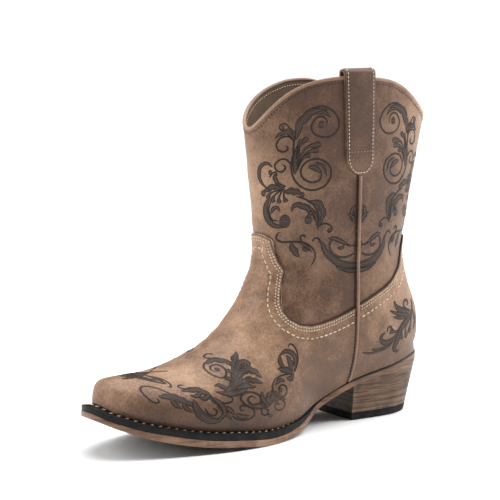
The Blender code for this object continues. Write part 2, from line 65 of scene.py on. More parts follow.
GIRTH_ROWS = (
    # top_x  top_z   low_x   low_z   outer   inner   middle   cut   sharp bow    lift   ledge   welt    sole
    (0.2700, 0.0352, 0.2700, 0.0352, 0.0125, 0.0125, -0.0020, 0.40, 1.00, 0.005, 0, 0.0090, 0.0039, 0.0036),
    (0.2687, 0.0432, 0.2652, 0.0335, 0.0180, 0.0175, -0.0020, 0.42, 0.95, 0.006, 0, 0.0084, 0.0041, 0.0041),
    (0.2640, 0.0492, 0.2550, 0.0294, 0.0245, 0.0235, -0.0020, 0.40, 0.92, 0.006, 0, 0.0076, 0.0043, 0.0047),
    (0.2480, 0.0499, 0.2360, 0.0232, 0.0315, 0.0300, -0.0020, 0.38, 0.95, 0.004, 0, 0.0072, 0.0045, 0.0052),
    (0.2270, 0.0505, 0.2110, 0.0166, 0.0375, 0.0360, -0.0010, 0.37, 1.00, 0.002, 0, 0.0072, 0.0045, 0.0050),
    (0.2030, 0.0558, 0.1850, 0.0121, 0.0415, 0.0395, 0, 0.36, 1.05, 0, 0, 0.0070, 0.0045, 0.0048),
    (0.1800, 0.0655, 0.1580, 0.0096, 0.0425, 0.0400, 0, 0.33, 1.10, 0, 0, 0.0064, 0.0045, 0.0048),
    (0.1620, 0.0800, 0.1310, 0.0115, 0.0395, 0.0360, 0, 0.25, 1.10, 0, 0, 0.0045, 0.0035, 0.0048),
    (0.1478, 0.0980, 0.1030, 0.0180, 0.0350, 0.0325, 0, 0.11, 1.10, 0, 0, 0.0025, 0.0005, 0.0048),
    (0.1409, 0.1150, 0.0720, 0.0303, 0.0335, 0.0320, 0, 0.15, 1.05, 0, 0, 0.0020, 0, 0.0048),
    (0.1387, 0.1300, 0.0380, 0.0379, 0.0338, 0.0328, 0, 0.19, 1.00, 0, 0, 0.0020, 0, 0.0048),
    (0.1386, 0.1410, 0.0185, 0.0425, 0.0342, 0.0332, 0, 0.13, 1.00, 0, 0, 0.0020, 0, 0.0048),
    (0.1393, 0.1490, 0.0008, 0.0459, 0.0343, 0.0333, 0, 0.00, 1.00, 0, 0, 0.0020, 0, 0.0048),
    (0.1404, 0.1580, -0.0010, 0.0680, 0.0343, 0.0333, 0, 0.00, 1.00, 0, 0, 0, 0, 0.0048),
    (0.1415, 0.1670, 0.0084, 0.0930, 0.0343, 0.0333, 0, 0.00, 1.00, 0, 0, 0, 0, 0.0048),
    (0.1426, 0.1760, 0.0134, 0.1165, 0.0347, 0.0337, 0, 0.00, 1.00, 0, 0.002, 0, 0, 0.0048),
    (0.1439, 0.1880, 0.0080, 0.1500, 0.0355, 0.0345, 0, 0.00, 1.00, 0, 0.009, 0, 0, 0.0048),
    (0.1457, 0.2005, -0.0004, 0.1870, 0.0365, 0.0355, 0, 0.00, 1.00, 0, 0.0216, 0, 0, 0.0048),
    (0.1474, 0.2120, -0.0066, 0.2130, 0.0370, 0.0360, 0, 0.00, 1.00, 0, 0.0350, 0, 0, 0.0048),
)


class Side(Enum):
    """A side of the foot, by the sign of its y."""

    OUTER = 1
    INNER = -1


class Stroke(Enum):
    """How a line of the ornament swells along its length."""

    VINE = "vine"
    BLADE = "blade"
    LEAF = "leaf"
    DROP = "drop"
    BEAD = "bead"

    def line(self, width: float, *spots: float, lobes: int = 0) -> "Line":
        """A line of this kind through spots, given as one number along and one up for each."""
        return Line(self, width, tuple(zip(spots[::2], spots[1::2])), lobes)


class Line(NamedTuple):
    """One stroke of the ornament, in millimetres on its part of the leather."""

    kind: Stroke
    width: float
    points: tuple[tuple[float, float], ...]
    lobes: int = 0


def srgb(red: int, green: int, blue: int) -> Colour:
    """Linear colour of a screen colour given from 0 to 255."""
    shares = [value / 255 for value in (red, green, blue)]
    return tuple(s / 12.92 if s <= 0.04045 else ((s + 0.055) / 1.055) ** 2.4 for s in shares)


def shade(colour: Colour, share: float) -> Colour:
    """A colour made darker, or paler with a share above 1."""
    return tuple(share * value for value in colour)


def between(before: Array, here: Array, after: Array, beyond: Array, share: Array) -> Array:
    """Points of a smooth line between two of the points that it passes.

    Args:
        before: the point before the two.
        here: the first of the two.
        after: the second of the two.
        beyond: the point after the two.
        share: shares of the way from the first to the second.

    Returns:
        The points.
    """
    slope, slope_after, rise = (after - before) / 2, (beyond - here) / 2, after - here
    bend, twist = 3 * rise - 2 * slope - slope_after, slope + slope_after - 2 * rise
    return here + share * (slope + share * (bend + share * twist))


def smooth_curve(points: Sequence[Sequence[float]], count: int) -> Array:
    """A smooth line through points, evenly sampled along its length.

    Args:
        points: the points that it passes, in any number of dimensions.
        count: the number of samples.

    Returns:
        The samples, one to a row.
    """
    spots = np.array(points, float)
    ends = np.vstack([2 * spots[0] - spots[1], spots, 2 * spots[-1] - spots[-2]])
    share = np.linspace(0, 1, CURVE_STEPS + 1)[:, None]
    fine = [between(*ends[index:index + 4], share) for index in range(len(spots) - 1)]
    kept = [part[:-1] for part in fine[:-1]] + fine[-1:]
    return resample(np.vstack(kept), count)


def resample(line: Array, count: int) -> Array:
    """Even samples along a fine line.

    Args:
        line: points of the line.
        count: number of samples.

    Returns:
        The samples, one to a row.
    """
    steps = np.linalg.norm(np.diff(line, axis=0), axis=1)
    run = np.concatenate([[0.0], np.cumsum(steps)])
    return np.stack([np.interp(np.linspace(0, run[-1], count), run, column) for column in line.T], axis=1)


def line_length(line: Array) -> float:
    """Length of a line of points."""
    return float(np.linalg.norm(np.diff(line, axis=0), axis=1).sum())


@dataclass(frozen=True)
class Crease:
    """A soft trough in the leather, seen from the side that it lies on."""

    x: float
    z: float
    length: float
    width: float
    turn: float  # degrees, rising towards the toe
    depth: float  # a ridge has a depth below zero
    side: float  # 1 outer, -1 inner, 0 both
    fade: float = 0.006  # how far from the boot's middle it reaches its full depth

    def press(self, points: Array) -> Array:
        """How far each point is pressed in.

        Args:
            points: points of the form.

        Returns:
            The depth at each.
        """
        angle = math.radians(self.turn)
        ahead, up = points[:, 0] - self.x, points[:, 2] - self.z
        along = ahead * math.cos(angle) + up * math.sin(angle)
        across = up * math.cos(angle) - ahead * math.sin(angle)
        press = self.depth * np.exp(-((across / self.width) ** 2) - (along / self.length) ** 4)
        if self.side:
            press = press * np.clip(points[:, 1] * self.side / self.fade, 0, 1)
        return press


CREASES = tuple(Crease(*row) for row in (
    (0.1310, 0.1240, 0.020, 0.0050, 20, 0.0011, 0),
    (0.1340, 0.1120, 0.022, 0.0060, 35, 0.0009, 0),
    (0.1150, 0.1010, 0.022, 0.0070, 25, 0.0008, 0),
    (0.0950, 0.1120, 0.024, 0.0080, -12, 0.0007, 0),
    (0.0400, 0.1320, 0.026, 0.0090, 28, 0.0009, 0),
    (0.0330, 0.1480, 0.026, 0.0070, 14, -0.0007, 0),
    (0.1240, 0.1480, 0.020, 0.0080, -8, -0.0006, 0),
    (0.1780, 0.0520, 0.017, 0.0035, 68, 0.0006, 0),
    (0.1680, 0.0580, 0.018, 0.0035, 62, 0.0007, 0),
    (0.1570, 0.0640, 0.019, 0.0040, 58, 0.0006, 0),
    (0.1880, 0.0400, 0.015, 0.0030, 72, 0.0004, 0),
    (0.1180, 0.0480, 0.020, 0.0070, 8, 0.0006, 0),
))


@dataclass(frozen=True)
class LastShape:
    """The form that the upper is pulled over, smooth through its table of girths."""

    rows: Array = field(default_factory=lambda: np.array(GIRTH_ROWS, float))
    creases: tuple[Crease, ...] = CREASES
    heel_row: int = 12
    climb_front: float = 2.45
    climb_back: float = 0.70
    climb_inner: float = 0.55
    lift_inner: float = 0.89
    collar_peak: float = 0.62
    collar_dip: float = 0.37
    toe_fall: float = 0.85

    @property
    def end(self) -> int:
        """Place of the collar along the table."""
        return len(self.rows) - 1

    def girths(self, places: Array) -> Array:
        """The table's columns at places along it.

        Args:
            places: places along the table.

        Returns:
            A row of the table for each.
        """
        row = np.clip(np.floor(places).astype(int), 0, self.end - 1)
        share = (places - row)[:, None]
        near = (self.rows[np.clip(row + step, 0, self.end)] for step in (-1, 0, 1, 2))
        return between(*near, share)

    def bare(self, places: Array, turns: Array) -> Array:
        """Points of the form without its creases.

        Args:
            places: places along the table, 0 at the toe.
            turns: places round each girth, -1 at its outer low end, 0 in front and 1 at its inner low end.

        Returns:
            The points, one to a row.
        """
        girth = self.girths(places)
        top_x, top_z, low_x, low_z, outer, inner, middle, cut, sharp, bow, lift = girth.T[:11]
        cut = np.clip(cut, 0.0, 0.5)
        low_angle = np.arccos(1 - 2 * cut)
        angle = math.pi - np.abs(turns) * (math.pi - low_angle)
        height = (1 - np.cos(angle)) / 2
        share = (height - cut) / (1 - cut)
        roundness = np.maximum(np.sin(angle), 0.0)
        swell = roundness ** sharp
        inside = turns > 0
        climb = self.climb_back + (self.climb_front - self.climb_back) * height
        climb = climb * np.where(inside, self.climb_inner, 1.0)
        lift = lift * (1 - self.collar_dip * np.maximum(self.collar_peak - height, 0.0))
        lift = lift * np.where(inside, self.lift_inner, 1.0)
        scallop = 1 - (1 - roundness ** 2) ** climb
        trail = bow * swell ** 2
        x = low_x + (top_x - low_x) * share - trail
        y = middle + np.where(inside, -inner, outer) * swell
        z = low_z + (top_z - low_z) * share + lift * scallop - self.toe_fall * trail
        return np.stack([x, y, z], axis=1)

    def normals(self, places: Array, turns: Array) -> Array:
        """The way out of the form at each place.

        Args:
            places: places along the table.
            turns: places round each girth.

        Returns:
            The ways, of length 1.
        """
        step = 0.004
        ahead, behind = np.minimum(places + step, self.end), np.maximum(places - step, 0)
        right, left = np.minimum(turns + step, 1), np.maximum(turns - step, -1)
        along = self.bare(ahead, turns) - self.bare(behind, turns)
        across = self.bare(places, right) - self.bare(places, left)
        out = np.cross(along, across)
        return out / np.maximum(np.linalg.norm(out, axis=1), 1e-12)[:, None]

    def points(self, places: Array, turns: Array) -> Array:
        """Points of the form with its creases.

        Args:
            places: places along the table.
            turns: places round each girth.

        Returns:
            The points, one to a row.
        """
        spots = self.bare(places, turns)
        press = sum(crease.press(spots) for crease in self.creases)
        return spots - self.normals(places, turns) * press[:, None]


class EdgePoint(NamedTuple):
    """A corner of a panel's cut edge, seen from the side."""

    x: float
    z: float


@dataclass(frozen=True)
class ToneAndShadeBlotch:
    """A soft patch drawn paler or darker on the leather: some give its own tone, others painted highlight and
    painted shade.
    """

    x: float
    y: float
    z: float
    reach: float
    amount: float


# The leather's own tone together with painted light and shade: the paler patches on the instep, the toe and
# the shaft's front and back edges are painted highlights where light falls. The darker ones low on the vamp
# and counter, at the waist and high in the middle of the shaft are painted shade.
TONE_AND_SHADE_BLOTCHES = tuple(ToneAndShadeBlotch(*row) for row in (
    (0.160, 0.010, 0.085, 0.040, 0.10),
    (0.200, 0.012, 0.058, 0.030, 0.04),
    (0.178, 0.024, 0.070, 0.018, 0.12),
    (0.232, 0.012, 0.050, 0.026, 0.16),
    (0.258, 0.010, 0.044, 0.016, 0.03),
    (0.145, 0.032, 0.062, 0.026, 0.08),
    (0.246, 0.026, 0.030, 0.017, -0.22),
    (0.222, 0.036, 0.024, 0.019, -0.22),
    (0.190, 0.042, 0.018, 0.021, -0.20),
    (0.160, 0.042, 0.018, 0.022, -0.18),
    (0.110, 0.036, 0.034, 0.030, -0.10),
    (0.030, 0.026, 0.080, 0.040, 0.16),
    (0.060, 0.032, 0.045, 0.020, -0.10),
    (0.140, 0.000, 0.175, 0.042, 0.34),
    (0.105, 0.030, 0.120, 0.022, 0.05),
    (0.035, 0.033, 0.112, 0.022, 0.14),
    (0.100, 0.032, 0.215, 0.034, -0.12),
    (0.012, 0.022, 0.215, 0.030, 0.32),
    (0.078, 0.038, 0.186, 0.014, 0.22),
    (0.030, 0.034, 0.050, 0.020, -0.12),
    (0.214, 0.030, 0.044, 0.020, 0.12),
))


class Workshop:
    """Makes finished pieces out of edit meshes and puts them on the boot."""

    @staticmethod
    def grid(bm: BMesh, columns: int, rows: int) -> tuple[list, Array]:
        """A flat grid, for its corners to be moved.

        Args:
            bm: the edit mesh that it goes into.
            columns: number of spaces along it.
            rows: number of spaces across it.

        Returns:
            The grid's corners, and for each its share along from 0 to 1 and across from -1 to 1.
        """
        made = bmesh.ops.create_grid(bm, x_segments=columns, y_segments=rows, size=1.0)["verts"]
        flat = np.array([corner.co[:2] for corner in made])
        flat[:, 0] = np.clip((flat[:, 0] + 1) / 2, 0, 1)
        flat[:, 1] = np.clip(flat[:, 1], -1, 1)
        return made, flat

    @staticmethod
    def mesh(bm: BMesh, name: str) -> bpy.types.Mesh:
        """Turn an edit mesh into a mesh and free it.

        Args:
            bm: the edit mesh.
            name: the mesh's name.

        Returns:
            The mesh.
        """
        mesh = bpy.data.meshes.new(name)
        bm.to_mesh(mesh)
        bm.free()
        return mesh

    @staticmethod
    def put(name: str, data: bpy.types.ID) -> Piece:
        """Put a mesh, light or camera in the scene.

        Args:
            name: the object's name.
            data: what it shows.

        Returns:
            The object.
        """
        item = bpy.data.objects.new(name, data)
        bpy.context.scene.collection.objects.link(item)
        return item

    @staticmethod
    def weld(bm: BMesh) -> None:
        """Join corners that meet and drop faces without area."""
        bmesh.ops.remove_doubles(bm, verts=bm.verts, dist=WELD)
        bmesh.ops.dissolve_degenerate(bm, edges=bm.edges, dist=WELD)

    @staticmethod
    def place(corners: Iterable, points: Array) -> None:
        """Move corners to points."""
        for corner, point in zip(corners, points):
            corner.co = point

    @classmethod
    def wrapped(cls, rings: Array) -> BMesh:
        """A skin through closed rings, welded where a ring closes or shrinks to a point.

        Args:
            rings: an array of rings, each with the same number of points, the first not repeated.

        Returns:
            The edit mesh.
        """
        bm = bmesh.new()
        closed = np.concatenate([rings, rings[:, :1]], axis=1)
        length, around = closed.shape[:2]
        corners, flat = cls.grid(bm, length - 1, around - 1)
        along = np.rint(flat[:, 0] * (length - 1)).astype(int)
        about = np.rint((flat[:, 1] + 1) / 2 * (around - 1)).astype(int)
        cls.place(corners, closed[along, about])
        cls.weld(bm)
        return bm

    @classmethod
    def solid(cls, rings: Sequence) -> BMesh:
        """A body through closed rings, with its ends filled and its faces outward.

        Args:
            rings: the rings, each with the same number of points.

        Returns:
            The edit mesh, closed.
        """
        bm = cls.wrapped(np.array(rings))
        bmesh.ops.holes_fill(bm, edges=[edge for edge in bm.edges if edge.is_boundary], sides=0)
        bmesh.ops.recalc_face_normals(bm, faces=bm.faces)
        return bm

    @staticmethod
    def finish(
        bm: BMesh,
        name: str,
        materials: Sequence[Material],
        slot: str,
        nodes: Sequence[str] = (),
        sharp: float = 40.0,
        toned_and_shaded: bool = False,
    ) -> Piece:
        """Turn an edit mesh into a piece of the boot.

        Args:
            bm: the edit mesh, in the last's frame.
            name: the piece's name.
            materials: its finishes, by material index.
            slot: not used.
            nodes: the model's nodes that it stands for.
            sharp: edges that turn by more than this many degrees stay sharp.
            toned_and_shaded: whether its finish reads the leather's tone attribute, which carries painted
                light and shade.

        Returns:
            The piece.
        """
        bmesh.ops.translate(bm, verts=bm.verts, vec=-MIDDLE)
        mesh = Workshop.mesh(bm, name)
        mesh.shade_smooth()
        mesh.set_sharp_from_angle(angle=math.radians(sharp))
        for material in materials:
            mesh.materials.append(material)
        piece = Workshop.put(name, mesh)
        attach(piece, "root")
        if nodes:
            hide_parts(*nodes)
        if toned_and_shaded:
            # The tone attribute holds painted highlights and painted shade along with the leather's own tone.
            Workshop.record(piece, "tone", tones_and_shading(Workshop.corners(piece)))
        LOG.info("%s: %d faces", name, len(mesh.polygons))
        return piece

    @staticmethod
    def record(piece: Piece, name: str, values: Array) -> None:
        """Keep a value for each corner of a piece, for its finish to read."""
        store = piece.data.attributes.new(name, "FLOAT", "POINT")
        store.data.foreach_set("value", np.asarray(values, np.float32))

    @classmethod
    def record_edge(cls, piece: Piece, line: Array) -> None:
        """Keep for each corner its distance from an edge, in millimetres.

        Args:
            piece: the piece.
            line: points of the edge.
        """
        seen = KDTree(len(line))
        for index, spot in enumerate(line):
            seen.insert(spot, index)
        seen.balance()
        cls.record(piece, "edge_mm", [1000 * seen.find(corner)[2] for corner in cls.corners(piece)])

    @staticmethod
    def corners(piece: Piece) -> Array:
        """A piece's corners in the last's frame.

        Args:
            piece: the piece.

        Returns:
            The corners, one to a row.
        """
        flat = np.zeros(len(piece.data.vertices) * 3, np.float32)
        piece.data.vertices.foreach_get("co", flat)
        return flat.reshape(-1, 3).astype(float) + np.array(MIDDLE)

    @staticmethod
    def tree(piece: Piece) -> BVHTree:
        """A piece's faces for finding places on it, in the last's frame.

        Args:
            piece: the piece.

        Returns:
            The faces as a search tree.
        """
        bm = bmesh.new()
        bm.from_mesh(piece.data)
        bmesh.ops.translate(bm, verts=bm.verts, vec=MIDDLE)
        found = BVHTree.FromBMesh(bm)
        bm.free()
        return found

    @classmethod
    def tube(cls, line: Array, radius: float, closed: bool, sides: int = 10) -> BMesh:
        """A round cord along a line.

        Args:
            line: points of its middle.
            radius: its radius.
            closed: whether its end meets its start.
            sides: number of sides.

        Returns:
            The edit mesh, closed.
        """
        count = len(line)
        steps = [line[(i + 1) % count] - line[i - 1] for i in range(count)]
        if not closed:
            steps[0], steps[-1] = line[1] - line[0], line[-1] - line[-2]
        turns = np.linspace(0, 2 * math.pi, sides, endpoint=False)
        side, rings = Vector((1.0, 0.1, 0.05)), []
        for spot, step in zip(line, steps):
            ahead = Vector(step).normalized()
            side = (side - ahead * side.dot(ahead)).normalized()
            right, up = np.array(side), np.array(ahead.cross(side))
            rings.append([np.array(spot) + radius * (np.cos(a) * right + np.sin(a) * up) for a in turns])
        if not closed:
            return cls.solid(rings)
        rings = np.array(rings)
        twist = np.argmin(np.linalg.norm(rings[-1] - rings[0][0], axis=1))
        bm = cls.wrapped(np.concatenate([rings, np.roll(rings[:1], twist, axis=1)]))
        bmesh.ops.recalc_face_normals(bm, faces=bm.faces)
        return bm


class Graph:
    """Short hand for wiring a node tree."""

    def __init__(self, tree: bpy.types.NodeTree) -> None:
        """Wire the given tree."""
        self.tree = tree

    def add(self, kind: str, inputs: dict | None = None, **settings: object) -> Node:
        """A node with its inputs linked or set.

        Args:
            kind: the node's type, without the word ShaderNode.
            inputs: sockets or values by the input's name or number.
            settings: properties of the node.

        Returns:
            The node.
        """
        node = self.tree.nodes.new("ShaderNode" + kind)
        for name, value in settings.items():
            setattr(node, name, value)
        for name, value in (inputs or {}).items():
            if isinstance(value, Socket):
                self.tree.links.new(value, node.inputs[name])
            else:
                node.inputs[name].default_value = value
        return node

    def math(self, operation: str, first: object, second: object = 0.0, clamp: bool = False) -> Socket:
        """The result of a sum of two values."""
        return self.add("Math", {0: first, 1: second}, operation=operation, use_clamp=clamp).outputs[0]

    def times(self, first: object, second: object) -> Socket:
        """A product."""
        return self.math("MULTIPLY", first, second)

    def plus(self, first: object, second: object) -> Socket:
        """A sum."""
        return self.math("ADD", first, second)

    def less(self, first: object, second: object) -> Socket:
        """A difference."""
        return self.math("SUBTRACT", first, second)

    def off(self, value: Socket, middle: float) -> Socket:
        """How far a value is from a middle one, either way."""
        return self.math("ABSOLUTE", self.less(value, middle))

    def fade(self, value: Socket, low: float, high: float) -> Socket:
        """1 up to the low value, falling softly to 0 at the high one."""
        return self.span(value, low, high, 1.0, 0.0, "SMOOTHSTEP")

    def axis(self, place: Socket, name: str) -> Socket:
        """One of a place's or a direction's three numbers."""
        return self.add("SeparateXYZ", {0: place}).outputs[name]

    def stretched(self, where: Socket, level: float, up: float) -> Socket:
        """A place scaled by one number on the level and by another upward."""
        return self.add("Mapping", {"Vector": where, "Scale": (level, level, up)}).outputs["Vector"]

    def span(self, value: Socket, low: float, high: float, to_low: float = 0.0, to_high: float = 1.0,
             kind: str = "LINEAR") -> Socket:
        """A value carried from one range to another, held at its ends."""
        inputs = {"Value": value, "From Min": low, "From Max": high, "To Min": to_low, "To Max": to_high}
        return self.add("MapRange", inputs, interpolation_type=kind).outputs["Result"]

    def mix(self, share: object, first: object, second: object, blend: str = "MIX") -> Socket:
        """Two colours mixed.

        Args:
            share: share of the second.
            first: a colour or its socket.
            second: the other.
            blend: the way to mix.

        Returns:
            The mixed colour.
        """
        node = self.add("Mix", {"Factor": share}, data_type="RGBA", blend_type=blend)
        for place, value in ((6, first), (7, second)):
            if isinstance(value, Socket):
                self.tree.links.new(value, node.inputs[place])
            else:
                node.inputs[place].default_value = (*value, 1.0)
        return node.outputs[2]

    def ramp(self, share: Socket, stops: Sequence[tuple[float, Colour]]) -> Socket:
        """A colour read off a row of stops.

        Args:
            share: place along the row.
            stops: places and colours.

        Returns:
            The colour.
        """
        node = self.add("ValToRGB", {"Fac": share})
        while len(node.color_ramp.elements) < len(stops):
            node.color_ramp.elements.new(0.5)
        for element, (place, colour) in zip(node.color_ramp.elements, stops):
            element.position = place
            element.color = (*colour, 1.0)
        return node.outputs["Color"]

    def noise(self, where: Socket, scale: float, detail: float = 3.0, rough: float = 0.5,
              bend: float = 0.0) -> Socket:
        """A noise value at a place."""
        inputs = {"Vector": where, "Scale": scale, "Detail": detail, "Roughness": rough, "Distortion": bend}
        return self.add("TexNoise", inputs).outputs["Fac"]

    def attribute(self, name: str) -> Socket:
        """A value that the piece keeps for each corner."""
        return self.add("Attribute", attribute_name=name).outputs["Fac"]

    def place(self) -> Socket:
        """Place on the piece, in metres."""
        return self.add("TexCoord").outputs["Object"]


class Effects:
    """Shader groups that several finishes share."""

    @staticmethod
    def group(name: str, inputs: dict[str, float], outputs: Sequence[str]) -> tuple[Graph, Node, Node]:
        """An empty shader group.

        Args:
            name: the group's name.
            inputs: its number inputs and their first values.
            outputs: its number outputs.

        Returns:
            The group's graph, its input node and its output node.
        """
        tree = bpy.data.node_groups.new(name, "ShaderNodeTree")
        for key, value in inputs.items():
            socket = tree.interface.new_socket(key, in_out="INPUT", socket_type="NodeSocketFloat")
            socket.default_value = value
        for key in outputs:
            tree.interface.new_socket(key, in_out="OUTPUT", socket_type="NodeSocketFloat")
        return Graph(tree), tree.nodes.new("NodeGroupInput"), tree.nodes.new("NodeGroupOutput")

    @classmethod
    def hide_grain(cls) -> bpy.types.NodeTree:
        """Pebbled leather grain: its height, and the pits between the pebbles.

        Returns:
            The group.
        """
        graph, given, out = cls.group("hide_grain", {"Pebbles": 900.0, "Wrinkles": 260.0}, ("Height", "Pits"))
        where = graph.place()
        bent = graph.add("TexNoise", {"Vector": where, "Scale": 300.0, "Detail": 2.0})
        shift = graph.add("VectorMath", {0: bent.outputs["Color"], "Scale": 0.0016}, operation="SCALE")
        moved = graph.add("VectorMath", {0: where, 1: shift.outputs[0]}, operation="ADD").outputs[0]
        inputs = {"Vector": moved, "Scale": given.outputs["Pebbles"]}
        cells = graph.add("TexVoronoi", inputs, feature="SMOOTH_F1")
        cells.inputs["Smoothness"].default_value = 0.6
        folds = graph.add("TexNoise", {"Vector": where, "Scale": given.outputs["Wrinkles"], "Detail": 5.0})
        pits = graph.span(cells.outputs["Distance"], 0.35, 0.85, kind="SMOOTHSTEP")
        fold = graph.span(folds.outputs["Fac"], 0.3, 0.7)
        high = graph.less(graph.times(fold, 0.8), graph.times(pits, 0.6))
        graph.tree.links.new(high, out.inputs["Height"])
        graph.tree.links.new(pits, out.inputs["Pits"])
        return graph.tree

    @classmethod
    def mottle(cls) -> bpy.types.NodeTree:
        """Uneven dye: broad clouds, smaller patches and fine specks, each about 0.5 on average.

        Returns:
            The group.
        """
        graph, given, out = cls.group("mottle", {"Clouds": 26.0, "Patches": 110.0, "Specks": 620.0},
                                      ("Clouds", "Patches", "Specks"))
        where = graph.place()
        for name, detail, bend in (("Clouds", 4.0, 0.6), ("Patches", 6.0, 0.3), ("Specks", 3.0, 0.0)):
            inputs = {"Vector": where, "Scale": given.outputs[name], "Detail": detail, "Distortion": bend}
            noise = graph.add("TexNoise", inputs).outputs["Fac"]
            graph.tree.links.new(graph.span(noise, 0.28, 0.72), out.inputs[name])
        return graph.tree

    @classmethod
    def floor_dust(cls) -> bpy.types.NodeTree:
        """Pale dust that gathers near the floor.

        Returns:
            The group.
        """
        graph, given, out = cls.group("floor_dust", {"Top": 0.03}, ("Dust",))
        where = graph.place()
        up = graph.axis(where, "Z")
        near = graph.math("SUBTRACT", 1.0, graph.math("DIVIDE", up, given.outputs["Top"]), clamp=True)
        cloud = graph.span(graph.noise(where, 160.0, 5.0), 0.42, 0.7)
        graph.tree.links.new(graph.times(near, cloud), out.inputs["Dust"])
        return graph.tree


class Finish:
    """Common steps of a finish."""

    groups: dict[str, bpy.types.NodeTree] = {}

    @classmethod
    def start(cls, name: str) -> tuple[Material, Graph, Node]:
        """A new material, its graph and its shader.

        Args:
            name: the material's name.

        Returns:
            The material, its graph and its shader.
        """
        material = bpy.data.materials.new(name)
        material.use_nodes = True
        return material, Graph(material.node_tree), material.node_tree.nodes["Principled BSDF"]

    @classmethod
    def effect(cls, graph: Graph, name: str, **values: float) -> Node:
        """A shared effect placed in a material with its own values.

        Args:
            graph: the material's graph.
            name: the effect's name.
            values: its inputs.

        Returns:
            The group's node.
        """
        if name not in cls.groups:
            cls.groups[name] = getattr(Effects, name)()
        node = graph.add("Group", node_tree=cls.groups[name])
        for key, value in values.items():
            node.inputs[key].default_value = value
        return node

    @staticmethod
    def dress(graph: Graph, shader: Node, colour: object, rough: object, height: object,
              bump: float, depth: float = 0.001) -> None:
        """Join colour, roughness and height to a shader.

        Args:
            graph: the material's graph.
            shader: its shader.
            colour: the colour's socket.
            rough: the roughness's socket.
            height: the height's socket.
            bump: strength of the bump.
            depth: distance that a height of 1 stands for.
        """
        relief = graph.add("Bump", {"Height": height, "Strength": bump, "Distance": depth})
        ends = {"Base Color": colour, "Roughness": rough, "Normal": relief.outputs["Normal"]}
        for name, socket in ends.items():
            graph.tree.links.new(socket, shader.inputs[name])


@dataclass(frozen=True)
class LeatherFinish:
    """Distressed leather: dye that varies, high spots partly rubbed and partly painted highlight, painted
    shade, pebbled grain and pressed sewing lines.
    """

    name: str
    dark: Colour
    middle: Colour
    light: Colour
    # The palest stop, reached both where the leather is rubbed and where the tone attribute paints highlight.
    rubbed: Colour
    pebbles: float = 950.0
    rough: float = 0.55
    bump: float = 0.45
    sheen: float = 0.15
    edge: bool = False
    # x of a groove in front of the side seam, darkened as a painted shadow line.
    groove_shade_x: float | None = None
    rows_mm: tuple[float, ...] = ()

    def make(self) -> Material:
        """The material.

        Returns:
            The material.
        """
        material, graph, shader = Finish.start(self.name)
        dye = Finish.effect(graph, "mottle")
        grain = Finish.effect(graph, "hide_grain", Pebbles=self.pebbles)
        # The tone attribute carries painted highlights and painted shade along with the leather's own tone.
        tone = graph.plus(graph.attribute("tone"), 0.5)
        for socket, amount in (("Clouds", 0.18), ("Patches", 0.17), ("Specks", 0.14)):
            part = graph.times(graph.less(dye.outputs[socket], 0.5), amount)
            tone = graph.plus(tone, part)
        stops = zip((0.12, 0.48, 0.74, 0.97), (self.dark, self.middle, self.light, self.rubbed))
        colour = graph.ramp(tone, tuple(stops))
        pits = graph.times(grain.outputs["Pits"], 0.22)
        colour = graph.mix(pits, colour, shade(self.dark, 0.55))
        height = graph.times(grain.outputs["Height"], 0.16)
        rough = graph.span(dye.outputs["Patches"], 0.0, 1.0, self.rough - 0.09, self.rough + 0.12)
        if self.edge:
            away = graph.attribute("edge_mm")
            rim = graph.fade(away, 0.1, 0.9)
            worn = graph.times(graph.span(away, 0.5, 1.6, 1.0, 0.0), dye.outputs["Patches"])
            colour = graph.mix(graph.times(worn, 0.5), colour, self.rubbed)
            colour = graph.mix(graph.times(rim, 0.85), colour, shade(self.dark, 0.3))
            height = graph.less(height, graph.times(rim, 0.5))
            for row in self.rows_mm:
                groove = graph.fade(graph.off(away, row), 0.0, 1.1)
                height = graph.less(height, graph.times(groove, 0.35))
                colour = graph.mix(graph.times(groove, 0.22), colour, shade(self.dark, 0.5))
        # Painted shadow line: a groove in front of the side seam's cord, dented and darkened as shade at the
        # cord's foot.
        if self.groove_shade_x is not None:
            groove = graph.fade(graph.off(graph.axis(graph.place(), "X"), self.groove_shade_x), 0.0003, 0.0013)
            height = graph.less(height, graph.times(groove, 0.4))
            colour = graph.mix(graph.times(groove, 0.6), colour, shade(self.dark, 0.4))
        Finish.dress(graph, shader, colour, rough, height, self.bump)
        shader.inputs["Specular IOR Level"].default_value = 0.4
        shader.inputs["Sheen Weight"].default_value = self.sheen
        shader.inputs["Sheen Roughness"].default_value = 0.4
        return material


